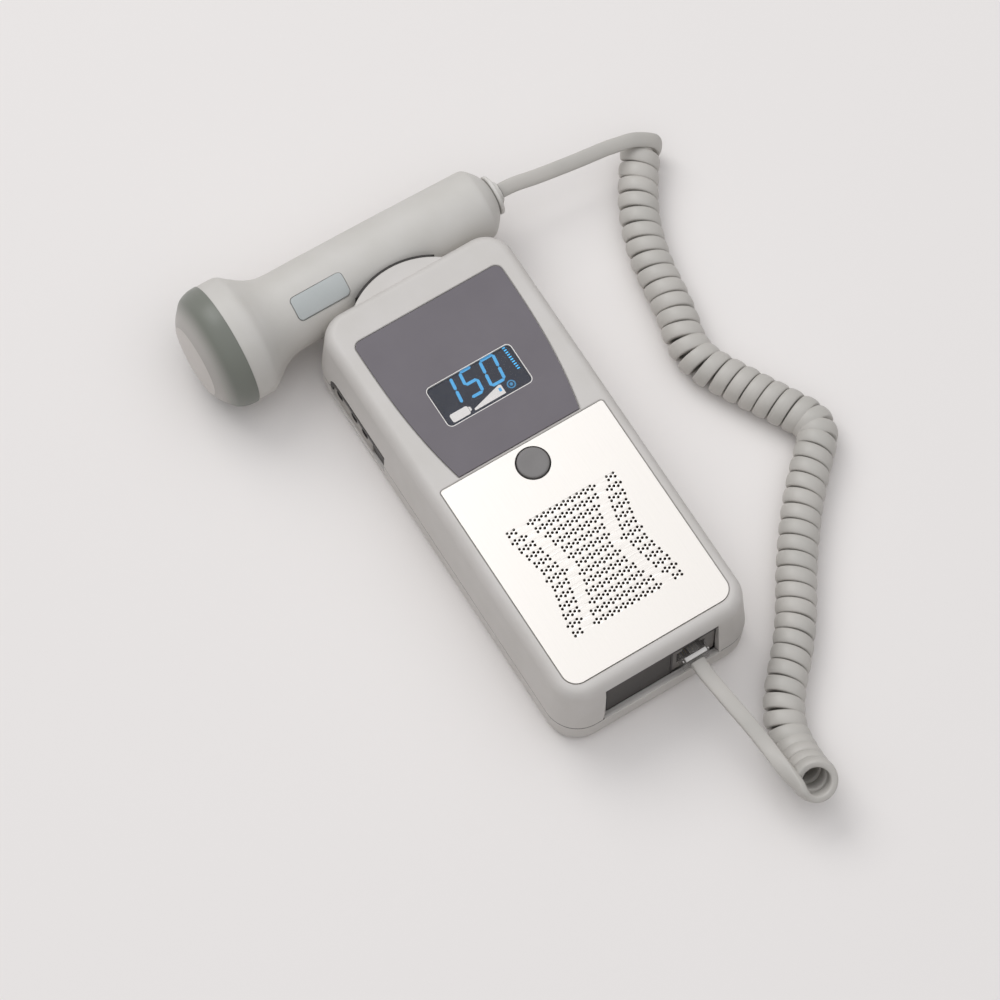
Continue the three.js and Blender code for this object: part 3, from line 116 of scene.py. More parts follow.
def finish_material(tree, sockets):
    """The shader, with these sockets set or linked, as the material's surface."""
    shader = add_node(tree, "ShaderNodeBsdfPrincipled", sockets)
    add_node(tree, "ShaderNodeOutputMaterial", {"Surface": shader.outputs[0]})


def two_shades(tree, factor, first, second):
    """A colour that runs from one hex shade to another."""
    shades = {0: factor, 6: linear(first), 7: linear(second)}
    return add_node(tree, "ShaderNodeMix", shades, data_type="RGBA").outputs[2]


def grained(tree, colour, pattern, gloss, depth, **sockets):
    """A finish whose pattern sets its roughness, between two values, and its depth in mm."""
    low, high = gloss
    rough = add_node(tree, "ShaderNodeMapRange", {"Value": pattern, "To Min": low, "To Max": high})
    bump = add_node(tree, "ShaderNodeBump", {"Height": pattern, "Strength": 1, "Distance": depth * MM})
    finish_material(tree, {
        "Base Color": colour, "Roughness": rough.outputs[0], "Normal": bump.outputs[0], **sockets,
    })


print("red in linear light", [round(value, 2) for value in linear("#ff0000")])

# %% [markdown]
# Moulded plastic takes its skin from the mould. A spark-eroded mould gives a fine, even grain that
# spreads the highlight, and the melt leaves very faint clouds of shade. So each plastic has a grain
# size and depth in millimetres, two close shades, and a roughness that wanders a little.
# %% Moulded plastic


PLASTIC_IOR = 1.5
CLOUD_LOW, CLOUD_HIGH = 0.3, 0.7


def moulded(name, shades, roughness, grain, depth, cloud=14):
    """Moulded plastic: grain and depth of its mould texture and size of its clouds, in mm."""
    material, tree, place = start_material(name)
    clouds = add_node(tree, "ShaderNodeTexNoise", {"Vector": place, "Scale": 1 / (cloud * MM), "Detail": 3})
    grains = add_node(tree, "ShaderNodeTexNoise", {"Vector": place, "Scale": 1 / (grain * MM), "Detail": 2})
    even = add_node(
        tree,
        "ShaderNodeMapRange",
        {"Value": clouds.outputs[0], "From Min": CLOUD_LOW, "From Max": CLOUD_HIGH},
    )
    colour = two_shades(tree, even.outputs[0], *shades)
    gloss = (roughness - 0.06, roughness + 0.06)
    grained(tree, colour, grains.outputs[0], gloss, depth, IOR=PLASTIC_IOR)
    return material


CASE_ABS = moulded("abs_case_spark_grain", ("#cdc9c5", "#c8c4bf"), 0.5, 0.7, 0.012)
PROBE_ABS = moulded("abs_probe_fine_grain", ("#cbc8c3", "#c6c3bd"), 0.46, 0.7, 0.01)
GLAND_ABS = moulded("abs_gland_smooth", ("#d4d1cc", "#cfccc7"), 0.4, 0.7, 0.006)
PLATE_ABS = moulded("abs_socket_plate_grey", ("#a39e99", "#9c9792"), 0.5, 0.6, 0.01)
LENS_EPOXY = moulded("epoxy_lens_cast", ("#d2ccc7", "#cbc6c0"), 0.42, 1.2, 0.005)
TRIM_FILM = moulded("polycarbonate_trim_film", ("#6b666c", "#676268"), 0.42, 0.5, 0.006)
BUTTON_RUBBER = moulded("silicone_key_moulded", ("#7e7b7a", "#787675"), 0.5, 0.6, 0.006)
# Dark ABS for the cell box and the volume control, and also the painted shade in the seam.
DARK_ABS_AND_SEAM_SHADE = moulded("abs_dark_and_seam_painted_shade", ("#57534f", "#4f4b48"), 0.5, 0.6, 0.01)
COVER_ABS = moulded("abs_end_cover_dark", ("#2f2b28", "#292623"), 0.55, 0.6, 0.01)
JACK_ABS = moulded("abs_jack_frame_grey", ("#716d69", "#696561"), 0.45, 0.6, 0.008)
# Black nylon for real parts, and also the black of the pieces that are painted shade.
BLACK_NYLON_AND_SHADE = moulded("nylon_black_and_painted_shade", ("#2d2927", "#242120"), 0.48, 0.5, 0.008)
LABEL_PLATE = moulded("polycarbonate_label_blank", ("#babebd", "#b4b9b8"), 0.3, 0.8, 0.003)
CORD_PVC = moulded("pvc_cord_jacket_extruded", ("#bebab4", "#b7b4ae"), 0.44, 1.4, 0.008)
CELL_SLEEVE = moulded("cell_sleeve_lacquered", ("#5b5d62", "#505257"), 0.35, 1.0, 0.004)
RESIN = moulded("backing_resin_cast", ("#40454b", "#34393f"), 0.6, 0.8, 0.02)
CERAMIC = moulded("piezo_ceramic_fired", ("#dcd6c7", "#d2ccbb"), 0.6, 0.4, 0.01)
RIM_WHITE = moulded("screen_rim_pale_print", ("#f0ede9", "#e9e5e1"), 0.45, 0.5, 0.004)
print("moulded finishes", len([m for m in bpy.data.materials if m.node_tree]))

# %% [markdown]
# The ring on the probe's head is a soft dark moulding, and its polish keeps a clear highlight. Its
# colour pales along the head's axis, from the seam to the mouth: the dark part is the ring's own
# colour, and the pale part is a painted reflection of the pale table in its curve.
# %% Head ring
CAP_DARK_UNTIL, CAP_REFLECTION_FROM = -65.8, -70.3
HEAD_RING_WITH_REFLECTION, cap_tree, cap_place = start_material("elastomer_head_ring_painted_reflection")
cap_along = add_node(cap_tree, "ShaderNodeSeparateXYZ", {"Vector": cap_place}).outputs["X"]
cap_painted_reflection = add_node(
    cap_tree,
    "ShaderNodeMapRange",
    {"Value": cap_along, "From Min": CAP_DARK_UNTIL * MM, "From Max": CAP_REFLECTION_FROM * MM},
    interpolation_type="SMOOTHSTEP",
)
cap_grains = add_node(
    cap_tree,
    "ShaderNodeTexNoise",
    {"Vector": cap_place, "Scale": 1 / (1.1 * MM), "Detail": 2},
)
# The pale shade towards the mouth is a painted reflection of the table, not the ring's own colour.
cap_colour_and_reflection = two_shades(cap_tree, cap_painted_reflection.outputs[0], "#74776f", "#b0aca7")
grained(cap_tree, cap_colour_and_reflection, cap_grains.outputs[0], (0.3, 0.4), 0.004, IOR=PLASTIC_IOR)
print("head ring pales from", CAP_DARK_UNTIL, "to", CAP_REFLECTION_FROM, "mm")

# %% [markdown]
# Metals differ by how they were worked. The speaker plate is bright rolled sheet, brushed very
# lightly along its length, so its highlight spreads across the grain. Screws are zinc plated, and
# contacts are bare rolled brass.
# %% Metals


def worked_metal(name, shades, roughness, line_width, line_length, depth):
    """Metal with fine lines along Y: width and length of the lines and their depth, in mm."""
    material, tree, place = start_material(name)
    stretch = (1, line_width / line_length, 1)
    stretched = add_node(tree, "ShaderNodeMapping", {"Vector": place, "Scale": stretch})
    lines = add_node(
        tree,
        "ShaderNodeTexNoise",
        {"Vector": stretched.outputs[0], "Scale": 1 / (line_width * MM), "Detail": 2},
    ).outputs[0]
    gloss = (roughness - 0.05, roughness + 0.05)
    grained(tree, two_shades(tree, lines, *shades), lines, gloss, depth, Metallic=1)
    return material


PLATE_METAL = worked_metal("aluminium_sheet_brushed", ("#f2f0ee", "#ecebe8"), 0.38, 0.5, 14, 0.002)
ZINC = worked_metal("steel_zinc_plated", ("#c4c3bf", "#b4b3af"), 0.34, 0.5, 1, 0.004)
BRASS = worked_metal("brass_contact_rolled", ("#c6a86a", "#b69a5c"), 0.3, 0.4, 3, 0.003)
print("metals", PLATE_METAL.name, ZINC.name, BRASS.name)

# %% [markdown]
# The circuit board is glass fibre under a green lacquer. Its weave shows faintly through the
# lacquer as a small square pattern. The speaker cloth is a plain weave of thin dark thread.
# %% Woven materials


def woven(name, shades, roughness, thread, depth):
    """A plain weave: thread spacing and depth in mm."""
    material, tree, place = start_material(name)
    waves = {}
    for socket, direction in enumerate(("X", "Y")):
        waves[socket] = add_node(
            tree,
            "ShaderNodeTexWave",
            {"Vector": place, "Scale": math.pi / 10 / (thread * MM)},
            wave_type="BANDS",
            bands_direction=direction,
        ).outputs["Fac"]
    weave = add_node(tree, "ShaderNodeMath", waves, operation="MULTIPLY").outputs[0]
    bump = add_node(tree, "ShaderNodeBump", {"Height": weave, "Strength": 1, "Distance": depth * MM})
    colour = two_shades(tree, weave, *shades)
    finish_material(tree, {"Base Color": colour, "Roughness": roughness, "Normal": bump.outputs[0]})
    return material


BOARD_LACQUER = woven("glass_fibre_green_lacquer", ("#28523a", "#33603f"), 0.4, 0.9, 0.01)
SPEAKER_CLOTH = woven("speaker_cloth_black_weave", ("#2c241e", "#4a3d33"), 0.9, 0.5, 0.08)
print("woven", BOARD_LACQUER.name, SPEAKER_CLOTH.name)

# %% [markdown]
# The screen is dark glass with lit marks. The marks glow a little, and the glow is partly painted
# light, which keeps their colour in shade; on the pale printed symbols the glow is all painted light.
# The window and the cord's plug are clear plastic: the window is thin and flat, and only its faint
# reflection tells that it is there.
# %% Glass, lit marks and clear plastic


def lit(name, shades, glow):
    """A printed or lit mark on the screen, whose glow is painted light in part or in whole."""
    material, tree, place = start_material(name)
    spots = add_node(tree, "ShaderNodeTexNoise", {"Vector": place, "Scale": 1 / (0.9 * MM), "Detail": 1})
    colour = two_shades(tree, spots.outputs[0], *shades)
    finish_material(tree, {
        "Base Color": colour, "Roughness": 0.4, "Emission Color": colour, "Emission Strength": glow,
    })
    return material


def clear_plastic(name, shade, alpha, roughness):
    """Clear plastic, seen through by its alpha."""
    material, tree, place = start_material(name)
    haze = add_node(tree, "ShaderNodeTexNoise", {"Vector": place, "Scale": 1 / (3 * MM), "Detail": 2})
    gloss = add_node(
        tree,
        "ShaderNodeMapRange",
        {"Value": haze.outputs[0], "To Min": roughness, "To Max": roughness + 0.05},
    )
    finish_material(tree, {
        "Base Color": linear(shade), "Roughness": gloss.outputs[0], "IOR": 1.58, "Alpha": alpha,
    })
    return material


SCREEN_GLASS = moulded("lcd_glass_dark_filter", ("#1f212d", "#272a38"), 0.1, 3, 0.001, cloud=9)
LIT_BLUE = lit("lcd_segment_backlit_blue", ("#3a98d2", "#4aa9de"), 0.14)
BLOCK_BLUE = lit("lcd_block_backlit_blue", ("#37aeec", "#44bbf2"), 0.4)
DIM_BLUE = lit("lcd_segment_dim_blue", ("#2a76a3", "#3284b2"), 0.15)
# The pale print has no light of its own: its glow is painted light.
LIT_WHITE = lit("lcd_symbol_pale_print_painted_glow", ("#d6d2cf", "#cfcbc8"), 0.15)
WINDOW_ACRYLIC = clear_plastic("acrylic_window_clear", "#c9d2d8", 0.02, 0.05)
PLUG_CLEAR = clear_plastic("polycarbonate_plug_clear", "#8d8a86", 0.3, 0.08)
# White painted highlight for the plug's rear edge and ears.
PLUG_PAINTED_HIGHLIGHT = moulded("plug_painted_highlight_white", ("#efedea", "#e2dfdb"), 0.3, 0.5, 0.01)
print("screen finishes", SCREEN_GLASS.name, LIT_BLUE.name, LIT_WHITE.name)

# %% [markdown]
# The helpers for shapes work in millimetres. A loft joins rings of points into a skin and closes
# its ends. A lathe turns a profile into rings first. Booleans cut openings out of a skin, as the
# mould's inserts do. Each finished mesh becomes a named piece that rides on a body.
# %% Helpers for shapes


def mesh_of(points, faces):
    """A mesh of points in mm."""
    mesh = bpy.data.meshes.new("shape")
    mesh.from_pydata([[value * MM for value in point] for point in points], [], faces)
    mesh.update()
    tidy = bmesh.new()
    tidy.from_mesh(mesh)
    bmesh.ops.remove_doubles(tidy, verts=tidy.verts, dist=0.002 * MM)
    bmesh.ops.recalc_face_normals(tidy, faces=tidy.faces)
    tidy.to_mesh(mesh)
    tidy.free()
    return mesh


def loft(rings, round_trip=False):
    """A skin through rings of as many points each, closed by its ends or, on a round trip, by itself."""
    count, total = len(rings[0]), len(rings)
    faces = []
    for i in range(total if round_trip else total - 1):
        after = (i + 1) % total
        for j in range(count):
            k = (j + 1) % count
            faces.append((i * count + j, i * count + k, after * count + k, after * count + j))
    if not round_trip:
        faces.append(tuple(range(count)))
        faces.append(tuple(range((total - 1) * count, total * count)))
    return mesh_of([point for ring in rings for point in ring], faces)


def arc(x, y, radius, start, end, steps):
    """Points on a circle about (x, y), from one angle to another in degrees."""
    angles = [math.radians(start + (end - start) * step / steps) for step in range(steps + 1)]
    return [(x + radius * math.cos(angle), y + radius * math.sin(angle)) for angle in angles]


def rounded(left, right, bottom, top, radii, steps=12):
    """A rounded rectangle from its bottom left corner, anticlockwise, as [x, y] points."""
    middles = (
        (left + radii[0], bottom + radii[0]),
        (right - radii[1], bottom + radii[1]),
        (right - radii[2], top - radii[2]),
        (left + radii[3], top - radii[3]),
    )
    outline = []
    for corner, ((x, y), radius) in enumerate(zip(middles, radii)):
        outline += arc(x, y, radius, 180 + 90 * corner, 270 + 90 * corner, steps)
    return outline


def stand(u, v, height, axis):
    """A point of an outline at a height along an axis."""
    return {"Z": (u, v, height), "X": (height, u, v), "Y": (u, height, v)}[axis]


def prism(outline_at, levels, axis="Z"):
    """A body from an outline that grows by a margin at each level of (height, margin)."""
    return loft([[stand(u, v, height, axis) for u, v in outline_at(margin)] for height, margin in levels])


def lathe(profile, centre=(0, 0, 0), axis="Z", segments=96, tube=False):
    """A profile of (radius, height) turned about an axis through a centre. A tube's profile is closed."""
    rings = []
    for radius, height in profile:
        ring = []
        for step in range(segments):
            angle = 2 * math.pi * step / segments
            point = stand(radius * math.cos(angle), radius * math.sin(angle), height, axis)
            ring.append([point[i] + centre[i] for i in range(3)])
        rings.append(ring)
    return loft(rings, tube)


def block(x, y, z):
    """A box between low and high values."""
    return loft([[(x[0], y[0], h), (x[1], y[0], h), (x[1], y[1], h), (x[0], y[1], h)] for h in z])


def boolean(base, steps):
    """The mesh after each (operation, mesh) in turn."""
    scratch = new_object("scratch", base)
    tools = []
    for operation, mesh in steps:
        tools.append(new_object("tool", mesh))
        modifier = scratch.modifiers.new("cut", "BOOLEAN")
        modifier.operation = operation
        modifier.solver = "EXACT"
        modifier.object = tools[-1]
    shaped = scratch.evaluated_get(bpy.context.evaluated_depsgraph_get())
    result = bpy.data.meshes.new_from_object(shaped)
    for spare in [scratch, *tools]:
        bpy.data.objects.remove(spare)
    return result


def cut_by(*tools):
    """The steps that cut each of these out, in turn."""
    return [("DIFFERENCE", tool) for tool in tools]


def smooth(mesh, angle=32):
    """Smooth shading with sharp edges over an angle."""
    mesh.polygons.foreach_set("use_smooth", [True] * len(mesh.polygons))
    mesh.set_sharp_from_angle(angle=math.radians(angle))


def add_piece(name, mesh, material, body, nodes=(), angle=32):
    """A named piece of the object, which rides on a body and may stand for CAD nodes."""
    smooth(mesh, angle)
    mesh.materials.clear()
    mesh.materials.append(material)
    mesh.name = name
    made = new_object(name, mesh)
    weighted = made.modifiers.new("even_normals", "WEIGHTED_NORMAL")
    weighted.keep_sharp = True
    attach(made, body)
    if nodes:
        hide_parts(*nodes)
    return made


def add_black_piece(name, mesh, body="case"):
    """A black piece with no CAD part of its own. Some are real seals and surrounds; the rest are painted
    shade.
    """
    add_piece(name, mesh, BLACK_NYLON_AND_SHADE, body, ())


def soften(piece, width):
    """A narrow bevel, in mm, along the sharp edges of a piece."""
    bevel = piece.modifiers.new("edge", "BEVEL")
    bevel.width = width * MM
    bevel.segments = 2
    bevel.limit_method = "ANGLE"
    bevel.angle_limit = math.radians(50)


print("points on a rounded rectangle", len(rounded(0, 2, 0, 2, [1] * 4)))

# %% [markdown]
# The curly cord is a flat jacket wound on a rod, with its broad side outwards, and set by heat. That
# is why its curls lie edge to edge like a band. It is drawn as the winder made it: a middle line, a
# curl at a steady pitch round it, and a straight lead at each end. The line between two points
# follows a centripetal curve, which never loops back between close points.
# %% Cord: the winding
CORD_WIDTH = 5.0
CORD_THICKNESS = 2.7
CURL_RADIUS = 5.5
CURL_PITCH = 5.35
CURL_OPENING = 0.1
END_OPENING = 0.5
OPENING_TURNS = 0.5
FIRST_EASE = 0.32
BENDS = [0, 0.12, 0.25, 0.6]
BEND_RATES = [1, 0.95, 1.0, 1.45]
EXTRA_TURN = 0.72
FIRST_TURN = 0.14
LINE_STEP = 0.25
BEND_AVERAGE = 2
CURL_STEPS = 32
WAY_STEPS = 12
WRUNG_EARLY = 0.25
WRUNG_LENGTH = 30
PROBE_LEAD = [
    (45.3, 92.3, 21.4), (50.3, 92.1, 21.2), (58, 91.0, 20.4), (66, 90.1, 19.6), (74, 89.3, 18.9),
]
COIL_ENTRY = [(78.9, 88.9, 18.5), (83.8, 88.5, 18.1), (89.1, 87.7, 17.6), (94.4, 86.7, 16.8)]
COIL_MIDDLE = [
    (98.9, 88.6, 9.4), (95.2, 84.0, 8.0), (90.4, 77.4, 7), (86.4, 71.2, 7), (83.0, 64.7, 7),
    (80.3, 57.8, 7), (78.2, 50.5, 7), (76.8, 43.0, 7), (75.7, 35.2, 7), (74.2, 27.4, 7),
    (72.4, 20.8, 7), (72.0, 14.6, 7), (73.6, 7.8, 7), (76.6, 1.7, 7), (79.7, -4.2, 7),
    (82.9, -10.0, 7), (86.1, -15.8, 7), (88.9, -20.8, 7), (91.0, -25.0, 7), (91.5, -28.6, 7),
    (90.1, -31.9, 7), (87.4, -34.8, 7), (84.2, -37.9, 7), (79.2, -42.8, 7), (74.2, -48.0, 7),
    (69.6, -53.4, 7), (65.2, -58.9, 7), (61.0, -64.5, 7), (57.0, -70.2, 7), (53.2, -75.9, 7),
    (49.4, -81.5, 7), (45.2, -86.9, 7), (40.6, -92.1, 7), (35.8, -97.2, 7), (31.3, -102.6, 7),
    (27.7, -108.5, 7), (25.9, -114.3, 7), (25.1, -118.8, 7.7), (24.5, -122.8, 9.6),
    (23.8, -126.9, 12.5), (23.1, -130.9, 16.1), (22.3, -134.7, 20.1),
]
COIL_EXIT = [(16.4, -132.6, 19.6), (15.9, -126.6, 19.7), (15.5, -120.8, 19.6), (15.3, -115.6, 19.2)]
PLUG_LEAD = [
    (14.4, -107.5, 20.1), (13.2, -99.0, 20.8), (12.2, -91.0, 21.3), (11.6, -85.9, 21.6), (11.6, -81.2, 21.6),
]


def through(points, steps):
    """A smooth line through points, with as many steps from each to the next."""
    points = np.array(points, float)
    padded = np.vstack([2 * points[0] - points[1], points, 2 * points[-1] - points[-2]])
    line = []
    for i in range(len(points) - 1):
        a, b, c, d = padded[i : i + 4]
        pairs = ((a, b), (b, c), (c, d))
        before, span, after = (max(np.linalg.norm(q - p), 1e-6) ** 0.5 for p, q in pairs)
        leave = ((b - a) / before - (c - a) / (before + span) + (c - b) / span) * span
        arrive = ((c - b) / span - (d - b) / (span + after) + (d - c) / after) * span
        for step in range(steps):
            t = step / steps
            line.append(
                b
                + leave * t
                + (3 * (c - b) - 2 * leave - arrive) * t * t
                + (2 * (b - c) + leave + arrive) * t**3
            )
    line.append(points[-1])
    return np.array(line)


def evenly(line, step):
    """The same line in steps of even length."""
    lengths = np.concatenate([[0], np.cumsum(np.linalg.norm(np.diff(line, axis=0), axis=1))])
    count = int(lengths[-1] / step)
    wanted = np.linspace(0, lengths[-1], count + 1)
    return np.column_stack([np.interp(wanted, lengths, line[:, k]) for k in range(3)])


def travel(line):
    """The direction of travel at each point of a line."""
    ends = np.vstack([line[1] - line[0], line[2:] - line[:-2], line[-1] - line[-2]])
    return ends / np.linalg.norm(ends, axis=1)[:, None]


def carried(tangents, first):
    """A direction carried along without twist, from the given one at the first point."""
    out, outs = np.array(first, float), []
    for tangent in tangents:
        out = out - tangent * (out @ tangent)
        out = out / np.linalg.norm(out)
        outs.append(out)
    return np.array(outs)


def wind(middle):
    """The curls round the middle line: points and the directions that face outwards there."""
    line = evenly(through(middle, 40), LINE_STEP)
    spacing = np.linalg.norm(np.diff(line, axis=0), axis=1).mean()
    tangents = travel(line)
    ups = carried(tangents, (0, 0, 1))
    spread = np.vstack([tangents[1:], tangents[-1:]]) - np.vstack([tangents[:1], tangents[:-1]])
    bends = np.linalg.norm(spread, axis=1) / (2 * spacing)
    span = round(BEND_AVERAGE / LINE_STEP)
    bends = np.convolve(np.pad(bends, span, mode="edge"), np.ones(2 * span + 1) / (2 * span + 1), "valid")
    places = np.arange(len(line)) * spacing
    rates = np.interp(CURL_RADIUS * bends, BENDS, BEND_RATES) / CURL_PITCH
    rates *= 1 - FIRST_EASE * np.exp(-((places / CURL_PITCH) ** 2))
    turns = np.concatenate([[0], np.cumsum((rates[1:] + rates[:-1]) / 2 * spacing)])
    whole = round(turns[-1] - EXTRA_TURN) + EXTRA_TURN
    turns *= whole / turns[-1]
    wanted = np.arange(FIRST_TURN, whole, 1 / CURL_STEPS)
    centre, ahead, up = (
        np.column_stack([np.interp(wanted, turns, values[:, k]) for k in range(3)])
        for values in (line, tangents, ups)
    )
    up /= np.linalg.norm(up, axis=1)[:, None]
    side = np.cross(ahead, up)
    side /= np.linalg.norm(side, axis=1)[:, None]
    opened = CURL_RADIUS + CURL_OPENING * np.exp(-((wanted / OPENING_TURNS) ** 2))
    opened += END_OPENING * np.exp(-(((wanted - whole) / OPENING_TURNS) ** 2))
    angle = -2 * math.pi * wanted
    out = up * np.cos(angle)[:, None] + side * np.sin(angle)[:, None]
    return centre + out * opened[:, None], out, whole


def wrung(line, tangents, outs, angle):
    """Directions turned about the line of travel: by nothing at first, by the whole angle later."""
    lengths = np.concatenate([[0], np.cumsum(np.linalg.norm(np.diff(line, axis=0), axis=1))])
    share = np.minimum(lengths / WRUNG_LENGTH, 1)
    angles = (angle * share * share * (3 - 2 * share))[:, None]
    return outs * np.cos(angles) + np.cross(tangents, outs) * np.sin(angles)


curls, curl_outs, cord_turns = wind(COIL_MIDDLE)
# The ways in and out bend into the curls through three of their points, an eighth of a turn apart.
apart = CURL_STEPS // 8
way_in = through([*PROBE_LEAD, *COIL_ENTRY, *curls[: 2 * apart + 1 : apart]], WAY_STEPS)
way_out = through([*curls[-2 * apart - 1 :: apart], *COIL_EXIT, *PLUG_LEAD], WAY_STEPS)
way_in = way_in[: -2 * WAY_STEPS - 1]
way_out = way_out[2 * WAY_STEPS + 1 :]
cord_line = np.vstack([way_in, curls, way_out])
cord_tangents = travel(cord_line)
first, last = len(way_in), len(way_in) + len(curls) - 1
before = carried(cord_tangents[first::-1], curl_outs[0])[::-1]
after = carried(cord_tangents[last:], curl_outs[-1])
plug_ahead, plug_out = cord_tangents[-1], after[-1]
plug_up = carried([plug_ahead], (0, 0, 1))[0]
wring = math.atan2(np.cross(plug_out, plug_up) @ plug_ahead, plug_out @ plug_up)
cord_outs = np.vstack([before[:-1], curl_outs, after[1:]])
turned = last - round(WRUNG_EARLY * CURL_STEPS)
cord_outs[turned:] = wrung(cord_line[turned:], cord_tangents[turned:], cord_outs[turned:], wring)

# %% [markdown]
# The jacket's section is flat inside and a little crowned outside, with round edges, as it leaves the
# extruder's die. It is carried along the line with its crown outwards. The cord leaves the probe at
# a gland and ends in the clear plug.
# %% Cord: the jacket
CROWN = 0.45
EDGE_RADIUS = 0.65
SHOULDER_LIFT = 0.1


def jacket_section():
    """The section as [across, outwards] points, from the crown round to it again."""
    half, thick = CORD_WIDTH / 2, CORD_THICKNESS / 2
    middle = half - EDGE_RADIUS
    points = [(across * half, thick - CROWN * across**2) for across in (0, 0.3, 0.55)]
    points += arc(middle, thick - CROWN - EDGE_RADIUS + SHOULDER_LIFT, EDGE_RADIUS, 80, 0, 3)
    points += arc(middle, EDGE_RADIUS - thick, EDGE_RADIUS, 0, -90, 2)
    return [*points, (0, -thick), *[(-across, out) for across, out in reversed(points[1:])]]


def jacket(line, tangents, outs):
    """The section carried along a line, in mm."""
    outs = outs - tangents * np.sum(outs * tangents, axis=1)[:, None]
    outs /= np.linalg.norm(outs, axis=1)[:, None]
    sides = np.cross(tangents, outs)
    section = jacket_section()
    rings = []
    for centre, side, out in zip(line, sides, outs):
        rings.append([tuple(centre + side * across + out * up) for across, up in section])
    return loft(rings)


cord = new_object("curly_cord", jacket(cord_line, cord_tangents, cord_outs))
cord.data.materials.append(CORD_PVC)
smooth(cord.data, 60)
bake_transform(cord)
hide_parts("cord_probe_lead", "cord_coil", "cord_plug_lead")
print("cord jacket faces", len(cord.data.polygons))

# %% [markdown]
# The case is two mouldings that meet at a seam. Both follow one outline, a rectangle with large
# round corners, drawn in a little at each level for draft and for the rounded edge. The openings
# are then cut out with a small flare at their mouths, which is the rounding a real tool leaves.
# %% Case: outline and levels
CASE = (72.8, 158.6, 36.0)
SEAM = 12.0
SEAM_FLOOR = 11.45
SEAM_SOFT = 0.15
WALL = 2.2
CORNER = 11.5
GAP = 0.3
OVER = 4.0
CORNER_STEPS = 18
EDGE_STEPS = 9
HALF_X, HALF_Y, FRONT = CASE[0] / 2, CASE[1] / 2, CASE[2]
CEILING = FRONT - WALL
SHOULDER = 30.0
DRAFT, TOP_ROUND, REAR_DRAFT, REAR_ROUND = 1.5, 3.9, 0.4, 3.5
SCREWS = [(-26.5, -66), (26.5, -66), (-26.5, 68), (26.5, 68)]


def case_outline(inset):
    x, y = HALF_X - inset, HALF_Y - inset
    return rounded(-x, x, -y, y, [CORNER - inset] * 4, CORNER_STEPS)


def case_body(levels):
    return prism(case_outline, levels)


def front_levels(start, offset):
    """Levels of the front moulding's skin, drawn in by an offset."""
    rise = FRONT - offset - SHOULDER
    width = TOP_ROUND * rise / (FRONT - SHOULDER)
    levels = [(start, offset), (SHOULDER, DRAFT + offset)]
    for step in range(1, EDGE_STEPS + 1):
        angle = step / EDGE_STEPS * math.pi / 2
        levels.append((SHOULDER + rise * math.sin(angle), DRAFT + offset + width * (1 - math.cos(angle))))
    return levels


def rear_levels(end, offset):
    radius = REAR_ROUND - offset / 2
    levels = []
    for step in range(EDGE_STEPS + 1):
        angle = step / EDGE_STEPS * math.pi / 2
        drawn_in = REAR_DRAFT + offset + radius * (1 - math.sin(angle))
        levels.append((offset + radius * (1 - math.cos(angle)), drawn_in))
    return [*levels, (end, offset)]


def rod(x, y, radius, low, high, segments=40):
    return lathe([(radius, low), (radius, high)], (x, y, 0), "Z", segments)


def rod_x(y, z, radius, left, right, segments=64):
    return lathe([(radius, left), (radius, right)], (0, y, z), "X", segments)


def plate_outline(margin):
    lower, upper = 5 + margin, 1 + margin
    return rounded(-30.5 - margin, 30.5 + margin, -72.4 - margin, 6.1 + margin, [lower, lower, upper, upper])


def screen_outline(margin):
    return rounded(-16.4 - margin, 15.75 + margin, 23.1 - margin, 39.1 + margin, [2 + margin] * 4)


PANEL_STRAIGHT, PANEL_LOW, PANEL_NARROWING = 59.6, 7.3, 4.9


def panel_outline(margin):
    """The trim's outline, which narrows in a curve towards its lower edge."""
    side, top, corner = 27.5 + margin, 64.6 + margin, 2.5 + margin
    edge = []
    for step in range(25):
        down = step / 24
        height = PANEL_STRAIGHT - down * (PANEL_STRAIGHT - PANEL_LOW + margin)
        edge.append((side - PANEL_NARROWING * down**2.5, height))
    right = [*reversed(edge), *arc(side - corner, top - corner, corner, 0, 90, 8)]
    return [*right, *[(-x, y) for x, y in reversed(right)]]


def pocket(outline, low, flare=0.25):
    """A cutter for a pocket in the front face, with a flared mouth."""
    mouth = GAP + flare
    return prism(outline, [(low, GAP), (FRONT - flare, GAP), (FRONT, mouth), (FRONT + OVER, mouth)])


print("case", CASE, "mm")

# %% [markdown]
# The holder is one lip on each moulding: a slice of a disc that stands out of the case's far end
# and is hollowed to go round the handle. The probe snaps in between them.
# %% Case: holder lips
LIP = (-3.0, 54.9, 27.6)
PROBE_Y, PROBE_Z = 92.3, 21.4
HOLDER_RADIUS = 13.6
LIP_SOFT = 0.8
LIP_START = 75.9


def holder_lip(low, high, round_top):
    x, y, radius = LIP
    profile = [(radius, low)] if round_top else [(radius - LIP_SOFT, low), (radius, low + LIP_SOFT)]
    profile += arc(radius - LIP_SOFT, high - LIP_SOFT, LIP_SOFT, 0, 90, 4)
    disc = lathe(profile, (x, y, 0), "Z", 220)
    outside = block((x - radius, x + radius), (LIP_START, y + radius + OVER), (low - OVER, high + OVER))
    handle = rod_x(PROBE_Y, PROBE_Z, HOLDER_RADIUS, -HALF_X, HALF_X, 96)
    return boolean(disc, [("INTERSECT", outside), ("DIFFERENCE", handle)])


upper_lip = holder_lip(24, 34.5, True)
lower_lip = holder_lip(2.6, SEAM - GAP / 2, False)
print("lip faces", len(upper_lip.polygons), len(lower_lip.polygons))
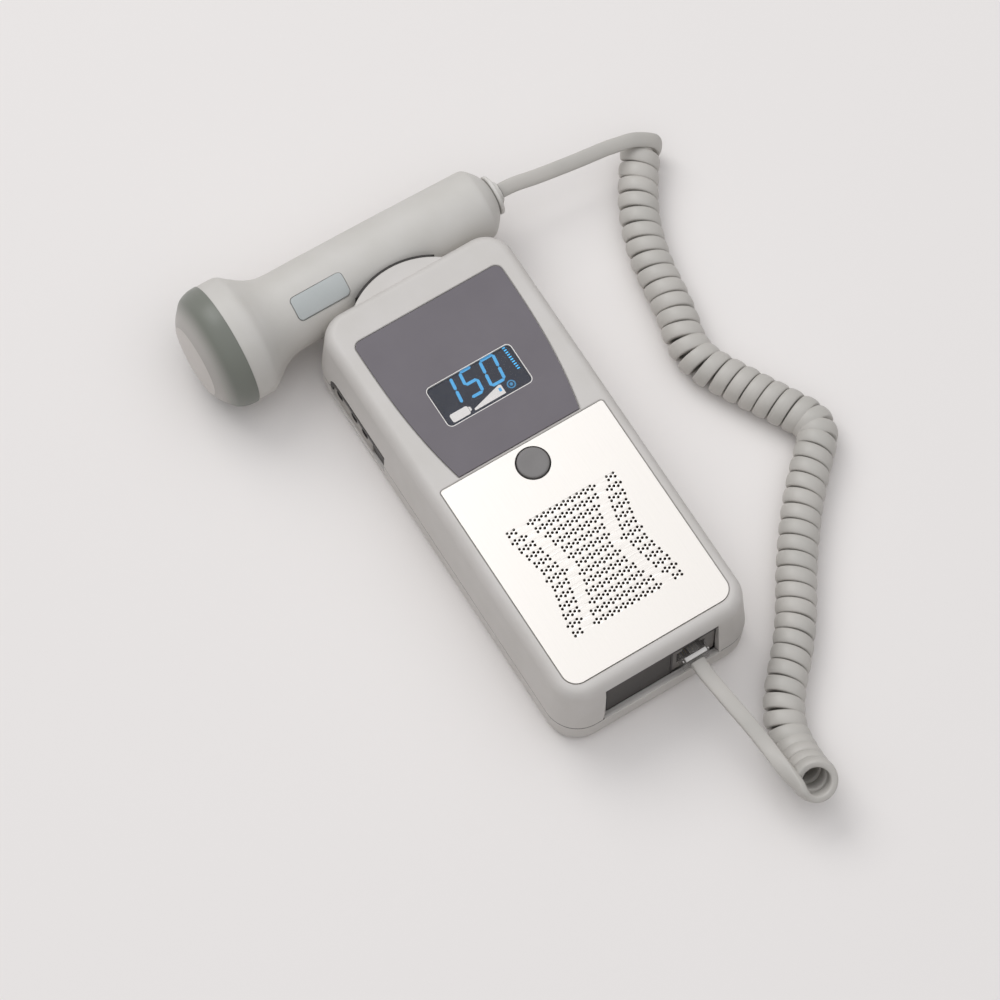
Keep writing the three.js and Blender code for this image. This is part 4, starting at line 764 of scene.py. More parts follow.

# %% [markdown]
# A thin black strip runs round the upper lip's rim. It is painted shadow: the dark line of shade in
# the gap between the lip and the handle.
# %% Case: painted shadow strip on the lip
SHADE_STRIP_IN, SHADE_STRIP_OUT, SHADE_STRIP_LOW, SHADE_STRIP_HIGH, SHADE_STRIP_SOFT = 27.62, 28.4, 24.4, 34.15, 0.25
shade_strip_profile = [
    (SHADE_STRIP_IN, SHADE_STRIP_LOW), (SHADE_STRIP_OUT, SHADE_STRIP_LOW), (SHADE_STRIP_OUT, SHADE_STRIP_HIGH - SHADE_STRIP_SOFT),
    (SHADE_STRIP_OUT - SHADE_STRIP_SOFT, SHADE_STRIP_HIGH), (SHADE_STRIP_IN, SHADE_STRIP_HIGH),
]
shade_strip_disc = lathe(shade_strip_profile, (LIP[0], LIP[1], 0), "Z", 220, tube=True)
shade_strip_reach = block((-HALF_X, HALF_X), (79.0, 90), (SHADE_STRIP_LOW - 1, SHADE_STRIP_HIGH + 1))
shade_strip_hollow = rod_x(PROBE_Y, PROBE_Z, HOLDER_RADIUS, -HALF_X, HALF_X, 96)
lip_shade_strip = boolean(shade_strip_disc, [("INTERSECT", shade_strip_reach), ("DIFFERENCE", shade_strip_hollow)])
# The strip is painted shadow along the lip's rim.
add_black_piece("lip_painted_shadow", lip_shade_strip)
print("lip strip faces", len(lip_shade_strip.polygons))

# %% [markdown]
# The front moulding carries everything that is looked at: pockets for the plate and the trim, the
# screen's opening, the key's hole, and the recesses in the left side and the near end.
# %% Case: front moulding
SIDE_RECESS = (32.0, 65.7, 6.0, 18.0)


def side_outline(margin):
    """The recess in the left side: round at its far end, square at its near end."""
    near, far, bottom, top = SIDE_RECESS
    radii = [0.6 + margin, 3.4 + margin, 4.0 + margin, 0.6 + margin]
    return rounded(near - margin, far + margin, bottom - margin, top + margin, radii)


SIDE_FLOOR = -32.1
side_levels = [(-HALF_X - OVER, 0.2), (-HALF_X + 0.1, 0.2), (-HALF_X + 0.3, 0), (SIDE_FLOOR, 0)]
SIDE_CUT = prism(side_outline, side_levels, "X")
END_LEFT, END_RIGHT, END_LOW, END_HIGH = -20.8, 21.3, SEAM, 31.6


def end_cut():
    """The recess in the near end, bevelled on its left side."""
    floor_y = -HALF_Y + 2 * WALL + GAP
    outline = [
        (-26.4, -HALF_Y - OVER), (END_RIGHT, -HALF_Y - OVER), (END_RIGHT, floor_y),
        (END_LEFT, floor_y), (END_LEFT, -HALF_Y + 1.3), (-22.4, -HALF_Y),
    ]
    return prism(lambda margin: outline, [(SEAM - OVER, 0), (END_HIGH, 0)])


SCREW_BOSS, SCREW_HOLE, REAR_BOSS = 3.4, 1.65, 4.2
KEY_Y, KEY_HOLE = -1, 5.85
TONGUE, TONGUE_RISE = 0.85, 1.1
SPEAKER_WINDOW = (-21.6, 21.6), (-58.4, -17.0)


def front_moulding():
    seam, soft = SEAM + GAP / 2, SEAM_SOFT
    outside = case_body([(seam, soft), (seam + soft, 0), *front_levels(seam, 0)[1:]])
    inside = case_body(front_levels(seam - OVER, WALL))
    tongue = case_body([(SEAM - TONGUE_RISE, WALL - TONGUE), (SEAM + 1, WALL - TONGUE)])
    bosses = [("UNION", rod(x, y, SCREW_BOSS, seam, CEILING + WALL / 2)) for x, y in SCREWS]
    return boolean(outside, [
        ("UNION", tongue),
        *cut_by(inside),
        *bosses,
        ("UNION", upper_lip),
        *cut_by(
            *[rod(x, y, SCREW_HOLE, seam - OVER, 25) for x, y in SCREWS],
            pocket(plate_outline, FRONT - 1.1),
            pocket(panel_outline, FRONT - 0.9),
            prism(screen_outline, [(CEILING - OVER, 0.5), (FRONT + OVER, 0.5)]),
            rod(0, KEY_Y, KEY_HOLE, CEILING - OVER, FRONT + OVER, 72),
            block(*SPEAKER_WINDOW, (CEILING - OVER, FRONT + OVER)),
            SIDE_CUT.copy(),
            end_cut(),
        ),
    ])


front = add_piece("front_moulding", front_moulding(), CASE_ABS, "case", ["front_shell"])
print("front moulding faces", len(front.data.polygons))

# %% [markdown]
# The rear moulding is a shallow tray. It holds the cells behind a door, takes the four screws in
# deep counterbores, and carries the lower lip of the holder. A thin dark band lies in the seam, just
# behind the skin: it is painted shade, which darkens the seam's groove so the seam reads as one even
# line.
# %% Case: rear moulding


def door_outline(margin):
    return rounded(-18 - margin, 18 + margin, -63.2 - margin, -2.8 + margin, [2 + margin] * 4)


def rear_moulding():
    seam, soft = SEAM_FLOOR, SEAM_SOFT
    outside = case_body([*rear_levels(seam, 0)[:-1], (seam - soft, 0), (seam, soft)])
    inside = case_body(rear_levels(seam + OVER, WALL))
    inset = WALL - TONGUE - GAP
    rebate = case_body([(SEAM - TONGUE_RISE - GAP, inset), (SEAM + OVER, inset)])
    steps = cut_by(inside, rebate)
    steps += [("UNION", rod(x, y, REAR_BOSS, WALL / 2, seam)) for x, y in SCREWS]
    for x, y in SCREWS:
        bore = lathe([(3.4, -OVER), (3.4, 0), (3.1, 0.3), (3.1, 7)], (x, y, 0), "Z", 40)
        steps += cut_by(bore, rod(x, y, SCREW_HOLE, 0, seam + OVER))
    door = prism(door_outline, [(-OVER, GAP + 0.25), (0, GAP + 0.25), (0.25, GAP), (1.5, GAP)])
    cells = block((-15.6, 15.6), (-60.8, -5.2), (-OVER, WALL + OVER))
    steps.append(("UNION", boolean(lower_lip, cut_by(rebate.copy()))))
    return boolean(outside, [*steps, *cut_by(door, cells, SIDE_CUT.copy())])


rear = add_piece("rear_moulding", rear_moulding(), CASE_ABS, "case", ["rear_shell"])
# The dark band in the seam is painted shade in the seam's groove.
seam_shade_hollow = case_body([(SEAM_FLOOR - 1, 1.0), (SEAM + 1, 1.0)])
seam_shade_band = boolean(
    case_body([(SEAM_FLOOR, 0.1), (SEAM + GAP / 2, 0.1)]),
    cut_by(seam_shade_hollow, block((END_LEFT - 1, END_RIGHT + 1), (-81, -70), (11, 13)), SIDE_CUT.copy()),
)
add_piece("seam_painted_shade", seam_shade_band, DARK_ABS_AND_SEAM_SHADE, "case", ())
print("rear moulding faces", len(rear.data.polygons))

# %% [markdown]
# A grey plate closes the side recess, with a bore for each of the three sockets. Its near end is a
# thin black surround, through which the thumbwheel stands out. A black band above the plate and
# beyond its far end is painted shade, where the recess's upper edge and far end are in shadow.
# %% Side: socket plate and wheel surround
SOCKET_PLACES = (60.6, 51.5, 44.9)
WHEEL_Y = 36.6
PLATE_SPLIT = 40.2


def socket_plate_outline(margin):
    far, bottom, top = SIDE_RECESS[1] - 1.5, SIDE_RECESS[2] + GAP, SIDE_RECESS[3] - 2.8
    radii = [0.5, 2.4 + margin, 3.0 + margin, 0.5]
    return rounded(PLATE_SPLIT - margin, far + margin, bottom - margin, top + margin, radii)


socket_plate = prism(socket_plate_outline, [(-34.1, 0), (-35.45, 0), (-35.7, -0.25)], "X")
BORE_PROFILE = [(2.2, -36.2), (2.2, -35.7), (1.95, -35.5), (1.95, -34.6), (2.8, -34.6), (2.8, -33)]
LINING_PROFILE = [(1.7, -34.6), (1.7, -35.6), (1.93, -35.6), (1.93, -34.6)]
bores = cut_by(*[lathe(BORE_PROFILE, (0, y, SEAM), "X", 48) for y in SOCKET_PLACES])
add_piece("side_plate", boolean(socket_plate, bores), PLATE_ABS, "case", ["side_panel"])
for number, y in enumerate(SOCKET_PLACES, 1):
    lining = lathe(LINING_PROFILE, (0, y, SEAM), "X", 40, tube=True)
    add_black_piece(f"socket_lining_{number}", lining)
surround = boolean(
    block((-35.0, -34.5), (SIDE_RECESS[0] + GAP, PLATE_SPLIT - GAP), (6.3, 17.7)),
    cut_by(block((-36, -34), (WHEEL_Y - 3.3, WHEEL_Y + 3.3), (SEAM - 1.9, SEAM + 1.9))),
)
add_black_piece("wheel_surround", surround)
# Painted shade: black where the recess's upper edge and far end are in shadow.
SIDE_SHADE_FACE, SIDE_SHADE_BACK = -36.05, -35.0
SIDE_SHADE_LOW, SURROUND_TOP = 10.5, 15.2
side_recess_shade = boolean(
    prism(side_outline, [(SIDE_SHADE_FACE, -0.15), (SIDE_SHADE_BACK, -0.15)], "X"),
    cut_by(
        prism(socket_plate_outline, [(-37, 0.1), (-34, 0.1)], "X"),
        block((-37, -34), (30, 66), (5, SIDE_SHADE_LOW)),
        block((-37, -34), (30, PLATE_SPLIT), (5, SURROUND_TOP)),
    ),
)
add_black_piece("side_recess_shade", side_recess_shade)
print("side plate", len(SOCKET_PLACES), "bores")

# %% [markdown]
# The near end takes a blank cover and the cord's modular socket side by side. Each has a small
# chamfer. A black band round both fills the joints and lines the recess's ceiling: it is painted
# shade, for the deep shadow in those joints.
# %% Near end: cover, socket and painted shade
COVER = (-20.3, 3.9, 12.5, 31.0)
JACK = (4.6, 20.8, 12.5, 31.0)
PLUG_X, PLUG_LOW, PLUG_HIGH, PLUG_BACK, PLUG_NOSE = 11.6, 18.4, 25.0, -80.9, -66.0
PLUG_HALF = 4.825


def about_plug(half):
    """The reach across of something centred on the plug."""
    return (PLUG_X - half, PLUG_X + half)


def square(part):
    """The outline of a part of the near end, with slightly round corners."""
    left, right, low, high = part
    return lambda margin: rounded(left - margin, right + margin, low - margin, high + margin, [0.5] * 4, 4)


cover = prism(square(COVER), [(-76.0, 0), (-77.1, 0), (-77.4, -0.3)], "Y")
add_piece("end_cover", cover, COVER_ABS, "case", ["end_blank"])
MOUTH_GAP = 0.35
jack = boolean(
    prism(square(JACK), [(-62.5, 0), (-76.5, 0), (-76.9, -0.4)], "Y"),
    cut_by(
        block(about_plug(PLUG_HALF + MOUTH_GAP), (-78, -65), (PLUG_LOW - MOUTH_GAP, PLUG_HIGH + MOUTH_GAP)),
        block(about_plug(3.2), (-78, -65), (PLUG_HIGH, PLUG_HIGH + 3)),
        block(about_plug(3.3), (-76.3, -65.6), (PLUG_LOW - 1.05, PLUG_LOW)),
    ),
)
add_piece("cord_jack", jack, JACK_ABS, "case", ["cord_socket"])
WEB_FACE, SHADE_FACE, SHADE_BACK = -77.3, -79.1, -76
JACK_SHADE_LOW, COVER_SHADE_LOW = 30.2, 31.1
end_shade_rim = square((END_LEFT + 0.05, END_RIGHT - 0.05, END_LOW, END_HIGH - 0.05))
lining, ceiling = (SHADE_FACE, SHADE_BACK), END_HIGH - 0.02
# Painted shade: black in the joints round the cover and the socket, and under the recess's ceiling.
end_shade_band = boolean(prism(end_shade_rim, [(-75.6, 0), (-76.5, 0)], "Y"), [
    *cut_by(*[prism(square(part), [(-75, 0.02), (-78, 0.02)], "Y") for part in (COVER, JACK)]),
    ("UNION", block((COVER[1] + 0.05, JACK[0] - 0.05), (WEB_FACE, SHADE_BACK), (12.1, 31.4))),
    ("UNION", block((COVER[1], END_RIGHT - 0.1), lining, (JACK_SHADE_LOW, ceiling))),
    ("UNION", block((END_LEFT + 0.1, COVER[1] + 0.1), lining, (COVER_SHADE_LOW, ceiling))),
    ("INTERSECT", case_body(front_levels(SEAM - OVER, 0.12))),
])
add_black_piece("end_painted_shade", end_shade_band)
print("near end", len(jack.polygons), "jack faces")

# %% [markdown]
# The plug is one clear moulding with a pocket in its top, over which a springy latch rises from the
# nose. The white edge behind the pocket and its two ears are painted highlights, where the clear
# plastic catches the light.
# %% Cord: the plug
POCKET_BACK, POCKET_FLOOR = -79.2, 23.4
latch_side = [(-66, 24.7), (-66, 25.0), (-69, 25.8), (-79.3, 26.9), (-79.3, 26.1), (-69, 24.7)]
latch = loft([[(x, y, z) for y, z in latch_side] for x in about_plug(1.8)])
plug_cuts = [
    block(about_plug(4.1), (POCKET_BACK, -69.6), (POCKET_FLOOR, 26)),
    block(about_plug(5), (-82, POCKET_BACK), (24.2, 26)),
]
WIRES, WIRE_PITCH, SLOT_HALF = 6, 1.1, 0.3
for wire in range(WIRES):
    x = PLUG_X + (wire - (WIRES - 1) / 2) * WIRE_PITCH
    plug_cuts.append(block((x - SLOT_HALF, x + SLOT_HALF), (-69.3, -65), (17, 20.6)))
plug_block = block(about_plug(PLUG_HALF), (PLUG_BACK, PLUG_NOSE), (PLUG_LOW, PLUG_HIGH))
plug_mesh = boolean(plug_block, [*cut_by(*plug_cuts), ("UNION", latch)])
plug = add_piece("clear_plug", plug_mesh, PLUG_CLEAR, "case", ["modular_plug"])
EAR_START, SHELF = 4.4, 24.2
highlight_ear_reaches = ((PLUG_X - PLUG_HALF, PLUG_X - EAR_START), (PLUG_X + EAR_START, PLUG_X + PLUG_HALF))
highlight_ears = [block(reach, (-80.2, -79.6), (SHELF, 24.7)) for reach in highlight_ear_reaches]
# The edge and the ears are painted highlights on the clear plug.
edge = block(about_plug(3.95), (-80.6, POCKET_BACK), (SHELF, 25.15))
edge = boolean(edge, [("UNION", ear) for ear in highlight_ears])
plug_highlight = add_piece("plug_painted_highlight", edge, PLUG_PAINTED_HIGHLIGHT, "case", ())
soften(plug, 0.2)
soften(plug_highlight, 0.2)
print("plug faces", len(plug.data.polygons))

# %% [markdown]
# The speaker plate is a punched sheet. A flat curve with its holes inside it fills itself, which
# is the neatest way to make hundreds of round holes without a single boolean.
# %% Speaker plate
PLATE_THICKNESS = 0.8
HOLE_RADIUS = 0.48
HOLE_PITCH = 2.48
ROW_SPACING = 0.68
BAND_PITCH = 3.29
FIRST_BAND = -18.0
CENTRE_OUTER = [10, 10, 8, 8, 7, 6, 6, 6, 7, 8, 8, 10, 10]
CENTRE_MIDDLE = [11, 9, 9, 7, 6, 7, 5, 7, 6, 7, 9, 9, 11]
SIDE_OUTER = [2, 2, 3, 3, 3, 3, 3, 3, 3, 3, 3, 2, 2]
SIDE_MIDDLE = [1, 3, 2, 2, 2, 2, 4, 2, 2, 2, 2, 3, 1]


def perforation():
    """Centres of the small holes: three rows to a band, drawn in towards the middle band."""
    places = []

    def row(centre, y, count):
        places.extend((centre + (i - (count - 1) / 2) * HOLE_PITCH, y) for i in range(count))

    for band in range(len(CENTRE_OUTER)):
        y = FIRST_BAND - band * BAND_PITCH
        away = abs(band - (len(CENTRE_OUTER) - 1) / 2)
        side = 14 + 0.6 * away + 0.028 * away * away
        for line in (-1, 0, 1):
            middle = line == 0
            count = (SIDE_MIDDLE if middle else SIDE_OUTER)[band]
            row(0, y + line * ROW_SPACING, (CENTRE_MIDDLE if middle else CENTRE_OUTER)[band])
            row(side, y + line * ROW_SPACING, count)
            row(-side, y + line * ROW_SPACING, count)
    return places


def ring(x, y, radius, count):
    return arc(x, y, radius, 0, 360, count)[:-1]


def sheet_metal(outlines, low, high, edge=0.0):
    """A flat sheet between two heights: the first outline is its rim, and the others are holes."""
    flat = bpy.data.curves.new("flat", "CURVE")
    flat.dimensions = "2D"
    flat.fill_mode = "BOTH"
    flat.extrude = ((high - low) / 2 - edge) * MM
    flat.bevel_depth = edge * MM
    flat.offset = -edge * MM
    flat.bevel_resolution = 1
    for outline in outlines:
        spline = flat.splines.new("POLY")
        spline.points.add(len(outline) - 1)
        spline.use_cyclic_u = True
        for point, (x, y) in zip(spline.points, outline):
            point.co = (x * MM, y * MM, 0, 1)
    scratch = new_object("scratch", flat)
    mesh = bpy.data.meshes.new_from_object(scratch.evaluated_get(bpy.context.evaluated_depsgraph_get()))
    bpy.data.objects.remove(scratch)
    tidy = bmesh.new()
    tidy.from_mesh(mesh)
    bmesh.ops.remove_doubles(tidy, verts=tidy.verts, dist=0.002 * MM)
    bmesh.ops.translate(tidy, verts=tidy.verts, vec=(0, 0, (low + high) / 2 * MM))
    tidy.to_mesh(mesh)
    tidy.free()
    return mesh


holes = perforation()
plate_rims = [plate_outline(0), ring(0, KEY_Y, KEY_HOLE, 64)]
plate_rims += [ring(x, y, HOLE_RADIUS, 12) for x, y in holes]
plate_mesh = sheet_metal(plate_rims, FRONT - PLATE_THICKNESS, FRONT, 0.06)
plate = add_piece("speaker_plate", plate_mesh, PLATE_METAL, "case", ["grille_plate"])
print("holes", len(holes), "plate faces", len(plate.data.polygons))

# %% [markdown]
# The trim is a thin printed film on a stiff carrier, so it is flat with a crisp edge. Inside it lie
# a pale printed rim, the clear window, and under the window the dark glass of the display.
# %% Trim, rim and window
trim_mesh = sheet_metal([panel_outline(0), screen_outline(0)], FRONT - 0.6, FRONT, 0.08)
add_piece("screen_trim", trim_mesh, TRIM_FILM, "case", ["display_panel"])
rim_mesh = sheet_metal([screen_outline(-0.04), screen_outline(-0.32)], 35.0, 35.9, 0.04)
add_piece("screen_rim", rim_mesh, RIM_WHITE, "case", ())
window_mesh = prism(screen_outline, [(35.3, -0.55), (35.75, -0.55), (35.8, -0.6)])
window = add_piece("clear_window", window_mesh, WINDOW_ACRYLIC, "case", ["screen_window"])
glass_top = prism(screen_outline, [(33.2, 0), (34.95, 0), (35.05, -0.1)])
display_mesh = boolean(block((-19, 19), (19.1, 43.1), (28, 33.5)), [("UNION", glass_top)])
add_piece("display_glass", display_mesh, SCREEN_GLASS, "case", ["display_module"])
print("window", [round(v / MM, 1) for v in window.dimensions])

# %% [markdown]
# The display reads a heart rate, as it would in use. Each figure is made of bars with pointed ends,
# leaning a little to the right. Beside them are a column of signal blocks, a cell symbol, a volume
# wedge and a small round lamp.
# %% Marks on the display
MARK_LOW, MARK_HIGH = 35.06, 35.11


BAR_WIDTH, BAR_GAP = 1.05, 0.04


def bar(start, end):
    """A bar with pointed ends from start to end."""
    (x0, y0), (x1, y1) = start, end
    length = math.hypot(x1 - x0, y1 - y0)
    along = ((x1 - x0) / length, (y1 - y0) / length)
    near, far, half = BAR_GAP, length - BAR_GAP, BAR_WIDTH / 2
    corners = (
        (near, 0), (near + half, -half), (far - half, -half),
        (far, 0), (far - half, half), (near + half, half),
    )
    return [
        (x0 + along[0] * run - along[1] * rise, y0 + along[1] * run + along[0] * rise)
        for run, rise in corners
    ]


def marks(name, outlines, material, high=MARK_HIGH):
    """Flat marks on the display as one piece."""
    points, faces = [], []
    for outline in outlines:
        first, count = len(points), len(outline)
        points += [(x, y, MARK_LOW) for x, y in outline] + [(x, y, high) for x, y in outline]
        faces.append(tuple(range(first, first + count)))
        faces.append(tuple(range(first + count, first + 2 * count)))
        for i in range(count):
            j = (i + 1) % count
            faces.append((first + i, first + j, first + count + j, first + count + i))
    return add_piece(name, mesh_of(points, faces), material, "case", ())


FIGURE_LEAN = 0.12
FIGURE_LOW, FIGURE_MIDDLE, FIGURE_HIGH = 29.0, 33.7, 38.4


def figure(left, right, lit_bars):
    """The lit bars of one seven-bar figure."""

    def at(x, y):
        return (x + FIGURE_LEAN * (y - FIGURE_LOW), y)

    low, middle, high = FIGURE_LOW, FIGURE_MIDDLE, FIGURE_HIGH
    places = {
        "top": (at(left, high), at(right, high)),
        "upper_left": (at(left, middle), at(left, high)),
        "upper_right": (at(right, middle), at(right, high)),
        "middle": (at(left, middle), at(right, middle)),
        "lower_left": (at(left, low), at(left, middle)),
        "lower_right": (at(right, low), at(right, middle)),
        "bottom": (at(left, low), at(right, low)),
    }
    return [bar(*places[name]) for name in lit_bars]


figures = figure(-8.0, -8.0 + 0.1, ["upper_left", "lower_left"])
figures += figure(-4.5, -0.2, ["top", "upper_left", "middle", "lower_right", "bottom"])
figures += figure(3.1, 8.0, ["top", "upper_left", "upper_right", "lower_left", "lower_right", "bottom"])
marks("rate_figures", figures, LIT_BLUE)
blocks = []
for step in range(10):
    x, y = 13.75 - 0.05 * step, 29.9 + 0.94 * step
    blocks.append([(x - 0.5, y - 0.2), (x + 0.5, y - 0.2), (x + 0.5, y + 0.2), (x - 0.5, y + 0.2)])
marks("signal_blocks", blocks, BLOCK_BLUE)
cell_symbol = [*rounded(-14.0, -7.4, 24.4, 27.5, [0.7] * 4, 5)]
nub = [(-7.3, 25.0), (-6.6, 25.4), (-6.6, 26.5), (-7.3, 26.9)]
wedge = [(-5.8, 24.5), (5.8, 24.6), (5.8, 27.9), (5.2, 28.2), (4.6, 28.1), (-5.8, 25.2)]
marks("cell_and_volume_symbols", [cell_symbol, nub, wedge], LIT_WHITE)
marks("volume_mark", [[(4.3, 25.9), (5.2, 25.9), (5.2, 27.2), (4.3, 27.2)]], LIT_BLUE, high=MARK_HIGH + 0.04)
marks("round_lamp", [ring(8.8, 26.3, 1.5, 28)], DIM_BLUE)
marks("round_lamp_middle", [ring(8.8, 26.3, 1.05, 20)], SCREEN_GLASS, high=MARK_HIGH + 0.04)
marks("round_lamp_heart", [ring(8.8, 26.3, 0.6, 16)], DIM_BLUE, high=MARK_HIGH + 0.08)
print("marks on the display", len(figures) + len(blocks) + 7)

# %% [markdown]
# The power key is soft-feeling moulded rubber. Its top is dished for a fingertip, inside a low rounded
# crest. A black ring in the gap round it is painted shade, so the gap reads as dark.
# %% Power key
KEY_RADIUS, KEY_CREST, KEY_DISH = 5.3, 36.75, 36.45
KEY_EDGE, KEY_STEM_END = 0.6, 25.9
edge_start = KEY_CREST - KEY_EDGE
KEY_FLANGE, FLANGE_LOW, FLANGE_HIGH = 6.75, 32, 33.5
key_profile = [
    (0.001, KEY_STEM_END), (2, KEY_STEM_END), (2, FLANGE_LOW), (KEY_FLANGE, FLANGE_LOW),
    (KEY_FLANGE, FLANGE_HIGH), (KEY_RADIUS, FLANGE_HIGH),
]
key_profile += arc(KEY_RADIUS - KEY_EDGE, edge_start, KEY_EDGE, 0, 90, 8)
for step in range(1, 11):
    out = 1 - step / 10
    rise = (KEY_CREST - KEY_DISH) * out**2 * (3 - 2 * out)
    key_profile.append((max((KEY_RADIUS - KEY_EDGE) * out, 0.001), KEY_DISH + rise))
key_mesh = lathe(key_profile, (0, KEY_Y, 0))
add_piece("power_key", key_mesh, BUTTON_RUBBER, "power_button", ["power_button"])
# The black ring is painted shade in the gap round the key.
key_gap_shade_profile = [(5.32, 34.4), (5.83, 34.4), (5.83, 34.9), (5.32, 34.9)]
key_gap_shade = lathe(key_gap_shade_profile, (0, KEY_Y, 0), "Z", 64, tube=True)
add_black_piece("key_gap_shade", key_gap_shade)
print("key crest", KEY_CREST, "dish", KEY_DISH)

# %% [markdown]
# The probe is turned about one axis. Its handle tapers towards the cord and flares at the other end
# into a round head. A smooth line through the measured radii gives the flare its long soft curve.
# %% Probe: housing
HEAD_RADIUS, SKIN_END, HEAD_SEAM = 21.0, -59.33, -59.37
PROBE_CENTRE = (0, PROBE_Y, PROBE_Z)
SKIN_POINTS = [
    (12.4, 34.0), (12.8, 17.0), (13.2, 0), (13.36, -10.0), (13.5, -20), (13.62, -29.0),
    (13.75, -38), (14.21, -41.33), (15.67, -45.03), (18.37, -49.02), (20.71, -52.35),
    (HEAD_RADIUS, -55.9), (HEAD_RADIUS, SKIN_END),
]


def along_profile(points, steps):
    return [(r, x) for r, x, _ in through([(r, x, 0) for r, x in points], steps)]


END_POINTS = [
    (6.5, 41.5), (8.2, 40.4), (9.8, 39.15), (11.1, 37.9), (11.9, 36.95), (12.25, 36.1), (12.36, 35.1),
]
housing_profile = [(3.4, 39.5), (3.4, 41.5), *along_profile(END_POINTS, 3), *along_profile(SKIN_POINTS, 6)]
housing_profile += [(19.0, SKIN_END), (19.0, -52.5), (13.0, -41.0), (11.6, -36.0), (10.5, 34.5)]
LABEL = (-36.6, -17.5, 82.5, 89.6)
LABEL_CORNER = 1.4


def label_outline(margin):
    left, right, near, far = LABEL
    return rounded(left - margin, right + margin, near - margin, far + margin, [LABEL_CORNER + margin] * 4, 8)


LABEL_IN, LABEL_OUT, LABEL_FLOOR, LABEL_TOP = 13.3, 13.85, 13.0, PROBE_Z + 20


def handle_rod(radius, more=0):
    """A rod along the handle that reaches past the label."""
    return rod_x(PROBE_Y, PROBE_Z, radius, -45 - more, -10 + more, 128)


label_cutter = boolean(
    prism(label_outline, [(PROBE_Z, GAP), (LABEL_TOP, GAP)]),
    cut_by(handle_rod(LABEL_FLOOR)),
)
housing_mesh = boolean(lathe(housing_profile, PROBE_CENTRE, "X", 128, tube=True), cut_by(label_cutter))
housing = add_piece("probe_shell", housing_mesh, PROBE_ABS, "probe", ["probe_housing"])
label_mesh = boolean(
    prism(label_outline, [(PROBE_Z, 0), (LABEL_TOP, 0)]),
    [("INTERSECT", handle_rod(LABEL_OUT)), *cut_by(handle_rod(LABEL_IN, 1))],
)
add_piece("label_blank", label_mesh, LABEL_PLATE, "probe", ["label_plate"])
print("probe shell faces", len(housing.data.polygons))

# %% [markdown]
# The head ends in a polished ring and a cast lens. The ring rounds over from the seam to the flat
# of the face, and the lens fills its mouth and bulges a little, so that gel spreads under it.
# %% Probe: cap, lens and gland
RIM_RADIUS, MOUTH_RADIUS = 21.2, 12.5
LENS_RADIUS, LENS_BACK, FACE_EDGE, FACE_CROWN = 12.45, -66.1, -71.0, -72.45
RIM_POINTS = [
    (RIM_RADIUS, HEAD_SEAM), (21.18, -60.6), (20.95, -62.5), (19.75, -65.6), (17.3, -68.0), (15.0, -69.75),
    (MOUTH_RADIUS, FACE_EDGE),
]
cap_profile = [
    (HEAD_RADIUS, HEAD_SEAM), *along_profile(RIM_POINTS, 6), (MOUTH_RADIUS, LENS_BACK), (14.4, LENS_BACK),
    (16.7, -60.0), (17.5, -53.15), (18.7, -53.15), (18.7, HEAD_SEAM),
]
cap_mesh = lathe(cap_profile, PROBE_CENTRE, "X", 128, tube=True)
add_piece("head_ring", cap_mesh, HEAD_RING_WITH_REFLECTION, "probe", ["probe_cap"])
lens_profile = [(0.001, LENS_BACK), (LENS_RADIUS, LENS_BACK), (LENS_RADIUS, FACE_EDGE)]
for step in range(17):
    out = math.cos(step / 16 * math.pi / 2)
    bulge = (FACE_CROWN - FACE_EDGE) * (1 - out**2)
    lens_profile.append((max((LENS_RADIUS - 0.05) * out, 0.001), FACE_EDGE + bulge))
add_piece("lens", lathe(lens_profile, PROBE_CENTRE, "X", 128), LENS_EPOXY, "probe", ["lens_face"])
gland_profile = [
    (0.001, 36.8), (3.1, 36.8), (3.1, 41.8), (6.6, 41.8), (7.0, 42.1), (7.0, 42.9), (6.7, 43.2),
    (4.1, 43.3), (4.0, 43.5), (3.9, 44.6), (3.6, 44.9), (3.2, 45.0), (0.001, 45.0),
]
gland_mesh = lathe(gland_profile, PROBE_CENTRE, "X", 72)
add_piece("gland", gland_mesh, GLAND_ABS, "probe", ["cord_gland"])
gland_seal = lathe([(0.001, 44.7), (3.0, 44.7), (3.0, 45.15), (0.001, 45.15)], PROBE_CENTRE, "X", 48)
add_black_piece("gland_seal", gland_seal, "probe")
print("probe head", RIM_RADIUS, "mm radius")

# %% [markdown]
# What is left keeps its CAD shape, and each part gets the finish of what it really is. A narrow bevel
# on the battery door catches the light as a moulded edge does.
# %% Finishes for the parts that keep their CAD shape
CAD_FINISHES = [
    (BLACK_NYLON_AND_SHADE, ["push_switch", "speaker", "headphone_socket", "recorder_socket", "charger_socket"]),
    (BLACK_NYLON_AND_SHADE, ["volume_wheel"]),
    (DARK_ABS_AND_SEAM_SHADE, ["battery_box", "volume_control"]),
    (CASE_ABS, ["battery_door"]),
    (CELL_SLEEVE, ["battery_cell_left", "battery_cell_right"]),
    (BRASS, ["battery_spring_left", "battery_spring_right"]),
    (BRASS, ["battery_contact_left", "battery_contact_right", "socket_wires"]),
    (BRASS, [f"plug_blade_{number}" for number in range(1, 7)]),
    (ZINC, [f"case_screw_{number}" for number in range(1, 5)]),
    (SPEAKER_CLOTH, ["grille_cloth"]),
    (BOARD_LACQUER, ["main_board", "probe_board"]),
    (CERAMIC, ["transmit_crystal", "receive_crystal"]),
    (RESIN, ["crystal_backing"]),
]
for material, names in CAD_FINISHES:
    for name in names:
        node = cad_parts[name]
        node.data.materials.clear()
        node.data.materials.append(material)
soften(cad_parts["battery_door"], 0.15)
print("CAD parts with a finish", sum(len(names) for material, names in CAD_FINISHES))

